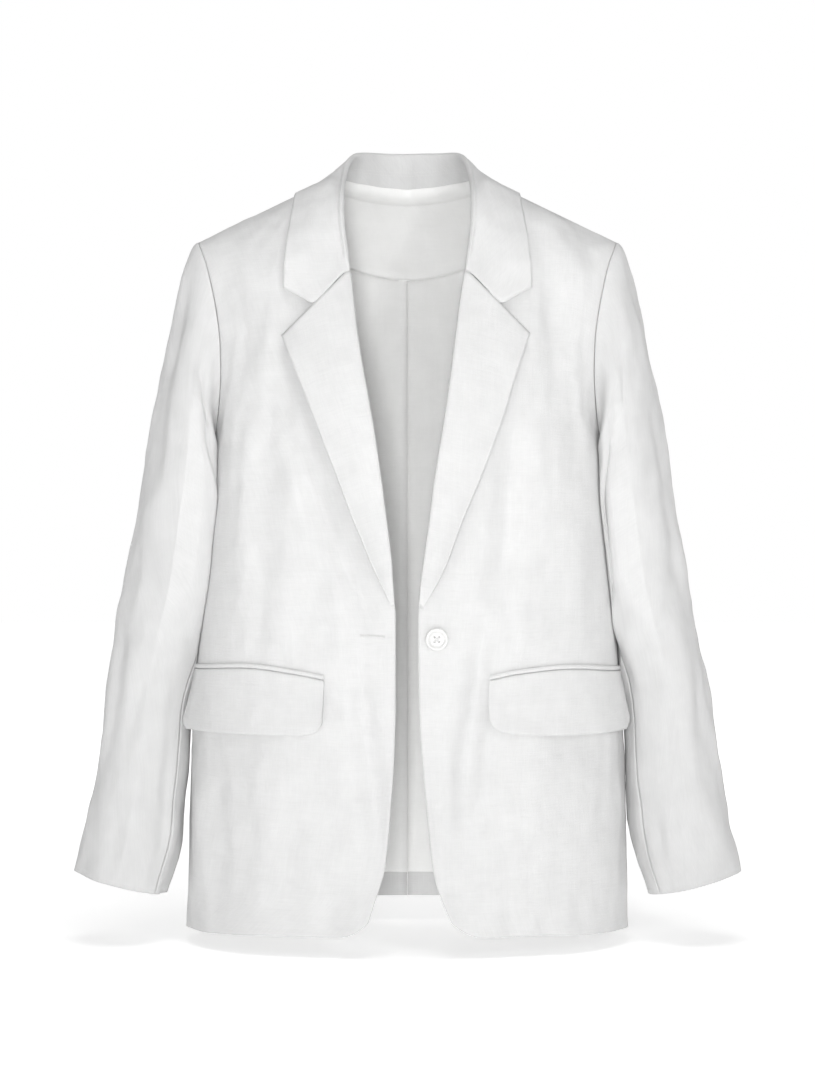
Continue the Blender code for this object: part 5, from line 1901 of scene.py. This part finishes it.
@dataclass
class Lapels:
    """Both turned-back lapels."""

    rows: int = 88
    face_columns: int = 26
    pressed_thin: float = 0.45  # share of the cloth's thickness at the break
    cut: Cut = Cut(0.1, 0.335, 0.015)

    def build(self) -> None:
        """Makes and dresses both lapels."""
        for side in Side:
            shares = blend(ROLL_END, 1.0, np.linspace(0, 1, self.face_columns + 1))
            coarse = np.array([LAPEL.row(side, w, shares) for w in np.linspace(0, 1, self.rows)])
            stops = spread((3, 3, 3) + (1,) * self.face_columns)
            grid = np.array([smooth_path(row, stops) for row in coarse])
            found = grid_normals(grid, np.array([0.0, -1.0, 0.0]))
            fade = fade_from(grid, "first_row last_row first_column", FADE)
            grid = puckered(grid, found, SMALL_PUCKERS, fade, side)
            risen = LAPEL.risen(np.linspace(0, 1, self.rows))
            depth = CLOTH * blend(self.pressed_thin, 1.0, risen)
            inner = grid - found * depth[:, None, None]
            shell_piece(f"lapel_{side.word}", side.place(grid), side.place(inner))


@dataclass
class Collar:
    """The collar with the two rows of stitches round the inside of its stand."""

    stitch_rows: tuple[float, float] = (1.02, 1.22)
    cut: Cut = Cut(0.64, 0.14, 0.0475)
    sewing: Sewing = field(default_factory=RunningStitch)

    def build(self) -> None:
        """Makes and dresses the collar and its stitches."""
        grid = COLLAR.whole()
        found = self.normals(grid)
        sections = spread(COLLAR.section_counts)
        fade = fade_from(grid, "first_row last_row first_column", FADE)
        inside = ease((sections - 3.0) / 2.0)
        grid = puckered(grid, found, SMALL_PUCKERS, fade * (0.35 + 0.65 * inside[None, :]))
        shell_piece("collar", grid, grid - found * CLOTH)
        lines = [self.stitch_line(grid, found, sections, row) for row in self.stitch_rows]
        stitches = self.sewing.sew("collar_stand_stitches", lines, THREAD)
        dress(stitches, ())

    @staticmethod
    def normals(grid: Grid) -> Grid:
        """Normals on the collar's face: towards the neck inside, out on the fall."""
        found = unit(np.cross(np.gradient(grid, axis=0), np.gradient(grid, axis=1)))
        middle = len(grid) // 2
        return -found if found[middle, 4, 1] > 0 else found

    @staticmethod
    def stitch_line(grid: Grid, found: Grid, sections: Array, row: float) -> Path:
        """Line of stitches round the stand, just off its face."""
        column = int(np.argmin(np.abs(sections - row)))
        reach = len(grid) // 7
        return (grid + found * 0.0001)[reach:-reach, column]


FLAP = {                            # x, height of the seam, height of the lower edge
    Side.LEFT: ((0.0765, -0.479, -0.525), (0.1, -0.474, -0.529),
                (0.15, -0.47, -0.531), (0.201, -0.4745, -0.529)),
    Side.RIGHT: ((0.0765, -0.479, -0.5265), (0.1, -0.4745, -0.53),
                 (0.15, -0.469, -0.53), (0.202, -0.4725, -0.529)),
}


@dataclass
class Pockets:
    """Both pocket flaps and the narrow welts above them."""

    corner: float = 0.01
    thickness: float = 0.0022
    lift: float = 0.0008
    bloom: float = 0.0092
    columns: int = 64
    rows: int = 22
    welt_height: float = 0.0045
    welt_crown: float = 0.0024
    flap_cut: Cut = Cut(0.182, 0.062, 0.0101)
    welt_cut: Cut = Cut(0.182, 0.01, 0.0011)

    def build(self) -> None:
        """Makes and dresses both pockets."""
        for side in Side:
            self.flap(side)
            self.welt(side)

    def across(self, side: Side) -> Array:
        """Places across a pocket, closer together at both ends."""
        table = FLAP[side]
        wide = float(TORSO.half_width(table[1][1], Face.FRONT))
        shares = 0.5 - 0.5 * np.cos(np.linspace(0.0, math.pi, self.columns + 1))
        return TORSO.ring(table[0][0], table[-1][0], wide, shares)

    def seam(self, side: Side, x: Array) -> Array:
        """Height of the seam between the flap and its welt."""
        return Curve.of(*((row[0], row[1]) for row in FLAP[side]))(x)

    def low(self, side: Side, x: Array) -> Array:
        """Height of a flap's lower edge, with its rounded corners."""
        table = FLAP[side]
        low = Curve.of(*((row[0], row[2]) for row in table))(x)
        nearest = np.minimum(x - table[0][0], (table[-1][0] - x) * 2.5)
        inside = np.clip(nearest / self.corner, 0.0, 1.0)
        return low + self.corner * (1 - np.sqrt(1 - (1 - inside) ** 2))

    def flap(self, side: Side) -> None:
        """One flap, which hangs from its welt and stands a little proud below.

        Args:
            side: Wearer's side.
        """
        x = self.across(side)
        shares = np.linspace(0.0, 1.0, self.rows + 1)[:, None]
        z = blend(self.low(side, x)[None, :], self.seam(side, x)[None, :] - SEAM, shares)
        x = np.broadcast_to(x, z.shape)
        lift = self.lift + self.bloom * (1 - shares) ** 1.3 + 0 * x
        inner = TORSO.off_front(x, z, lift, side)
        outer = TORSO.off_front(x, z, lift + self.thickness, side)
        away = unit(outer - inner)
        wave = waves(outer, SMALL_PUCKERS, side) * fade_from(outer, "last_row", 0.015)
        outer, inner = (grid + away * wave[..., None] for grid in (outer, inner))
        shell_piece(f"pocket_flap_{side.word}", side.place(outer), side.place(inner),
                    TURN_IN)

    def welt(self, side: Side) -> None:
        """One welt: a narrow folded strip with a round face.

        Args:
            side: Wearer's side.
        """
        x = self.across(side)
        shares = np.linspace(0.0, 1.0, 9)[:, None]
        z = self.seam(side, x)[None, :] + self.welt_height * shares
        x = np.broadcast_to(x, z.shape)
        crown = self.welt_crown * (0.5 + 0.5 * np.sin(math.pi * shares)) + 0 * x
        inner = TORSO.off_front(x, z, np.full(z.shape, self.lift), side)
        outer = TORSO.off_front(x, z, self.lift + crown, side)
        shell_piece(f"pocket_welt_{side.word}", side.place(outer), side.place(inner),
                    2 * TURN_IN)


def ring_faces(rings: int, sides: int, base: int = 0) -> list[tuple[int, ...]]:
    """Faces of a closed solid of rings.

    Args:
        rings: Number of rings.
        sides: Points in each ring.
        base: Number of its first point.

    Returns:
        The faces between the rings, then those of both ends.
    """
    faces = []
    for first in range(base, base + (rings - 1) * sides, sides):
        for k in range(sides):
            a, b = first + k, first + (k + 1) % sides
            faces.append((a, b, b + sides, a + sides))
    last = base + (rings - 1) * sides
    return faces + [tuple(range(base + sides - 1, base - 1, -1)), tuple(range(last, last + sides))]


@dataclass
class Fastening:
    """The four-hole button with its crossed thread, and the worked buttonhole."""

    place: tuple[float, float] = (0.0269, -0.4414)
    profile: tuple[tuple[float, float], ...] = (
        (0.0001, 0.0018), (0.003, 0.0018), (0.0058, 0.0018), (0.0072, 0.0023),
        (0.0085, 0.0032), (0.0093, 0.0032), (0.0102, 0.0027), (0.0107, 0.0018),
        (0.0105, 0.001), (0.01, 0.0005), (0.008, 0.0000), (0.0001, 0.0000))
    sides: int = 72
    hole_radius: float = 0.0011
    hole_offset: float = 0.0021
    hole_sides: int = 20
    hole_heights: tuple[float, float] = (-0.001, 0.005)
    strand_apart: float = 0.00032  # half the distance of two strands side by side
    strand_end: float = 1.25  # reach of a strand, where 1 is the hole's middle
    strand_rise: float = 0.0005
    strand_over: float = 0.0003  # further rise of the strands that cross on top
    strand_drop: float = 0.0012  # how far its ends sink into the holes
    buttonhole: tuple[float, float] = (0.0212, 0.0433)
    buttonhole_z: tuple[float, float] = (-0.4388, -0.4378)
    slot_half: float = 0.0002
    stitch_reach: float = 0.0011
    stitch_pitch: float = 0.0005

    def build(self) -> None:
        """Makes and dresses the button, its thread and the buttonhole."""
        button = self.button()
        dress(button, ("button",))
        thread = ThreadRun(0.0007).sew("button_thread", self.thread_lines(), THREAD)
        dress(thread, ())
        worked = ThreadRun(0.00035).sew("buttonhole_stitches", self.stitch_lines(), THREAD)
        dress(worked, ())

    def axes(self) -> tuple[Array, Array]:
        """Place of the button's back and its turn, as columns across, up and out."""
        x, z = (np.array([value]) for value in self.place)
        seat = TORSO.off_front(x, z, np.array([LAYER]), Side.LEFT)[0]
        out = unit(TORSO.off_front(x, z, np.array([0.01]), Side.LEFT)[0] - seat)
        up = np.array([0.0, 0.0, 1.0])
        return seat, np.stack([np.cross(up, out), up, out], axis=1)

    def button(self) -> bpy.types.Object:
        """Turned button with its thread holes cut through.

        Returns:
            The button.
        """
        stops = spread((1, 2, 3, 4, 3, 3, 3, 3, 2, 2, 1))
        rings = np.array([(radius, 0.0, height) for radius, height in self.profile])
        rings = smooth_path(rings, stops)
        turns = np.linspace(0, 2 * math.pi, self.sides, endpoint=False)
        points = np.stack([np.outer(rings[:, 0], np.cos(turns)),
                           np.outer(rings[:, 0], np.sin(turns)),
                           np.repeat(rings[:, 2:], self.sides, axis=1)], axis=-1)
        seat, turn = self.axes()
        thing = mesh_object("button_white", seat + points.reshape(-1, 3) @ turn.T,
                            ring_faces(len(rings), self.sides), BUTTON_FINISH)
        cutter = self.cutter()
        holes = thing.modifiers.new("holes", "BOOLEAN")
        holes.object = cutter
        graph = bpy.context.evaluated_depsgraph_get()
        mesh = bpy.data.meshes.new_from_object(thing.evaluated_get(graph))
        thing.modifiers.remove(holes)
        bpy.data.objects.remove(cutter, do_unlink=True)
        thing.data = mesh
        mesh.set_sharp_from_angle(angle=math.radians(50))
        return thing

    def cutter(self) -> bpy.types.Object:
        """Four rods that cut the thread holes, as one object.

        Returns:
            The object.
        """
        points, faces, offset = [], [], self.hole_offset
        turns = np.linspace(0, 2 * math.pi, self.hole_sides, endpoint=False)
        ring = np.stack([np.cos(turns), np.sin(turns)], axis=-1) * self.hole_radius
        for x, y in ((offset, offset), (offset, -offset), (-offset, offset), (-offset, -offset)):
            faces += ring_faces(2, self.hole_sides, len(points))
            for height in self.hole_heights:
                points += [(x + across, y + up, height) for across, up in ring]
        seat, turn = self.axes()
        return mesh_object("hole_cutter", seat + np.array(points) @ turn.T, faces, BUTTON_FINISH)

    def thread_lines(self) -> list[Path]:
        """Strands that cross between the holes, two each way.

        Returns:
            One line for each strand.
        """
        seat, turn = self.axes()
        lines = []
        far, high = self.hole_offset, self.profile[0][1]
        for lean in (1, -1):
            for beside in (-self.strand_apart, self.strand_apart):
                flat = []
                for t in np.linspace(-self.strand_end, self.strand_end, 13):
                    rise = self.strand_rise * (1 - t * t * 0.9)
                    rise += self.strand_over if lean > 0 else 0.0
                    flat.append((t * far - beside * lean, t * far * lean + beside,
                                 high + rise if abs(t) < 1.1 else high - self.strand_drop))
                lines.append(seat + np.array(flat) @ turn.T)
        return lines

    def stitch_lines(self) -> list[Path]:
        """Short stitches square to the slot of the buttonhole, on both its sides.

        Returns:
            One line for each stitch.
        """
        lines = []
        count = int((self.buttonhole[1] - self.buttonhole[0]) / self.stitch_pitch)
        for x, z in zip(np.linspace(*self.buttonhole, count),
                        np.linspace(*self.buttonhole_z, count)):
            for way in (1, -1):
                reach = z + way * np.array([self.slot_half, self.stitch_reach])
                lines.append(TORSO.off_front(np.full(2, x), reach, np.full(2, 0.00025),
                                             Side.RIGHT))
        for x in self.buttonhole:
            for step in (-0.0004, 0.0, 0.0004):
                reach = float(np.interp(x, self.buttonhole, self.buttonhole_z))
                ends = reach + np.array([-self.stitch_reach, self.stitch_reach])
                lines.append(TORSO.off_front(np.full(2, x + step), ends, np.full(2, 0.0004),
                                             Side.RIGHT))
        return [Side.RIGHT.place(line) for line in lines]


@dataclass(frozen=True)
class Lamp:
    """A square softbox."""

    name: str
    place: tuple[float, float, float]
    aim: tuple[float, float, float]
    size: float
    power: float

    def build(self) -> None:
        """Makes the lamp, turned to what it lights."""
        light = bpy.data.lights.new(self.name, "AREA")
        light.size = self.size
        light.energy = self.power
        lamp = linked(self.name, light)
        lamp.location = self.place
        way = Vector(self.aim) - Vector(self.place)
        lamp.rotation_euler = way.to_track_quat("-Z", "Y").to_euler()


@dataclass
class Studio:
    """Pale floor, white surroundings, soft light and the camera."""

    floor_z: float = -0.735
    floor_half: float = 9.0
    floor_tone: float = 0.93
    surround: float = 1.0  # seen behind the garment
    ambient: float = 0.26  # light that the surroundings shed on it
    near_painted_glow: tuple[float, float] = (0.3, 0.47)  # distance and painted glow of the floor near the garment, low so that the shadow under the hem shows
    far_painted_glow: tuple[float, float] = (1.4, 0.86)  # painted glow far off, so that the floor stays white up to the horizon
    distance: float = 2.4
    camera_z: float = -0.35
    view_height: float = 1.0476
    sensor: float = 36.0
    lamps: tuple[Lamp, ...] = (
        Lamp("front", (-0.1, -2.55, -0.35), (0.0, 0.0, -0.37), 0.3, 27.0),
        Lamp("key", (1.25, -2.4, 0.5), (0.0, 0.0, -0.38), 0.35, 9.0),
        Lamp("high", (0.05, -0.8, 2.1), (0.0, 0.0, -0.3), 1.2, 18.0),
        Lamp("back", (-0.4, 2.4, 1.2), (0.0, 0.0, -0.35), 1.6, 13.0),
    )

    def build(self) -> None:
        """Makes the whole studio."""
        self.floor()
        self.world()
        self.camera()
        for lamp in self.lamps:
            lamp.build()
        bpy.context.scene.view_settings.view_transform = "Standard"

    def floor(self) -> None:
        """A wide pale floor just below the garment, with painted light: it glows, least near the
        garment and more further off.
        """
        half, z = self.floor_half, self.floor_z
        corners = [(-half, -half, z), (half, -half, z), (half, half, z), (-half, half, z)]
        mesh = bpy.data.meshes.new("studio_floor")
        mesh.from_pydata(corners, [], [(0, 1, 2, 3)])
        made = bpy.data.materials.new("pale_floor_painted_glow")
        made.use_nodes = True
        shader = made.node_tree.nodes["Principled BSDF"]
        shader.inputs["Base Color"].default_value = (*(self.floor_tone,) * 3, 1.0)
        shader.inputs["Roughness"].default_value = 1.0
        shader.inputs["Specular IOR Level"].default_value = 0.0
        shader.inputs["Emission Color"].default_value = (1.0, 1.0, 1.0, 1.0)
        nodes = Nodes(made.node_tree)
        place = nodes.add("ShaderNodeTexCoord").outputs["Object"]
        away = nodes.add("ShaderNodeVectorMath", {"operation": "LENGTH"}, Vector=place)
        # Painted light: the floor's emission rises with distance from the garment.
        glow = nodes.add("ShaderNodeMapRange", Value=away.outputs["Value"],
                         From_Min=math.hypot(self.near_painted_glow[0], z),
                         From_Max=math.hypot(self.far_painted_glow[0], z),
                         To_Min=self.near_painted_glow[1], To_Max=self.far_painted_glow[1])
        nodes.join(glow.outputs[0], shader.inputs["Emission Strength"])
        mesh.materials.append(made)
        linked("studio_floor", mesh)

    def world(self) -> None:
        """White surroundings."""
        world = bpy.data.worlds.new("studio")
        world.use_nodes = True
        nodes = Nodes(world.node_tree)
        seen = nodes.add("ShaderNodeLightPath").outputs["Is Camera Ray"]
        spare = nodes.math("MULTIPLY", seen, self.surround - self.ambient)
        sky = world.node_tree.nodes["Background"]
        sky.inputs["Color"].default_value = (1.0, 1.0, 1.0, 1.0)
        nodes.join(nodes.math("ADD", spare, self.ambient), sky.inputs["Strength"])
        bpy.context.scene.world = world

    def camera(self) -> None:
        """Level camera in front of the garment."""
        lens = bpy.data.cameras.new("camera")
        lens.sensor_width = self.sensor
        lens.lens = self.sensor * self.distance / self.view_height
        camera = linked("camera", lens)
        camera.location = (0.0, -self.distance, self.camera_z)
        camera.rotation_euler = (math.radians(90.0), 0.0, 0.0)
        bpy.context.scene.camera = camera


def main() -> None:
    """Builds the studio and every piece in turn."""
    logging.basicConfig(level=logging.INFO, format="%(name)s: %(message)s", force=True)
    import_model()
    Studio().build()
    for part in (Body(), Inside(), Sleeves(), Lapels(), Collar(), Pockets(), Fastening()):
        LOG.info("building %s", type(part).__name__.lower())
        part.build()


if __name__ == "__main__":
    main()
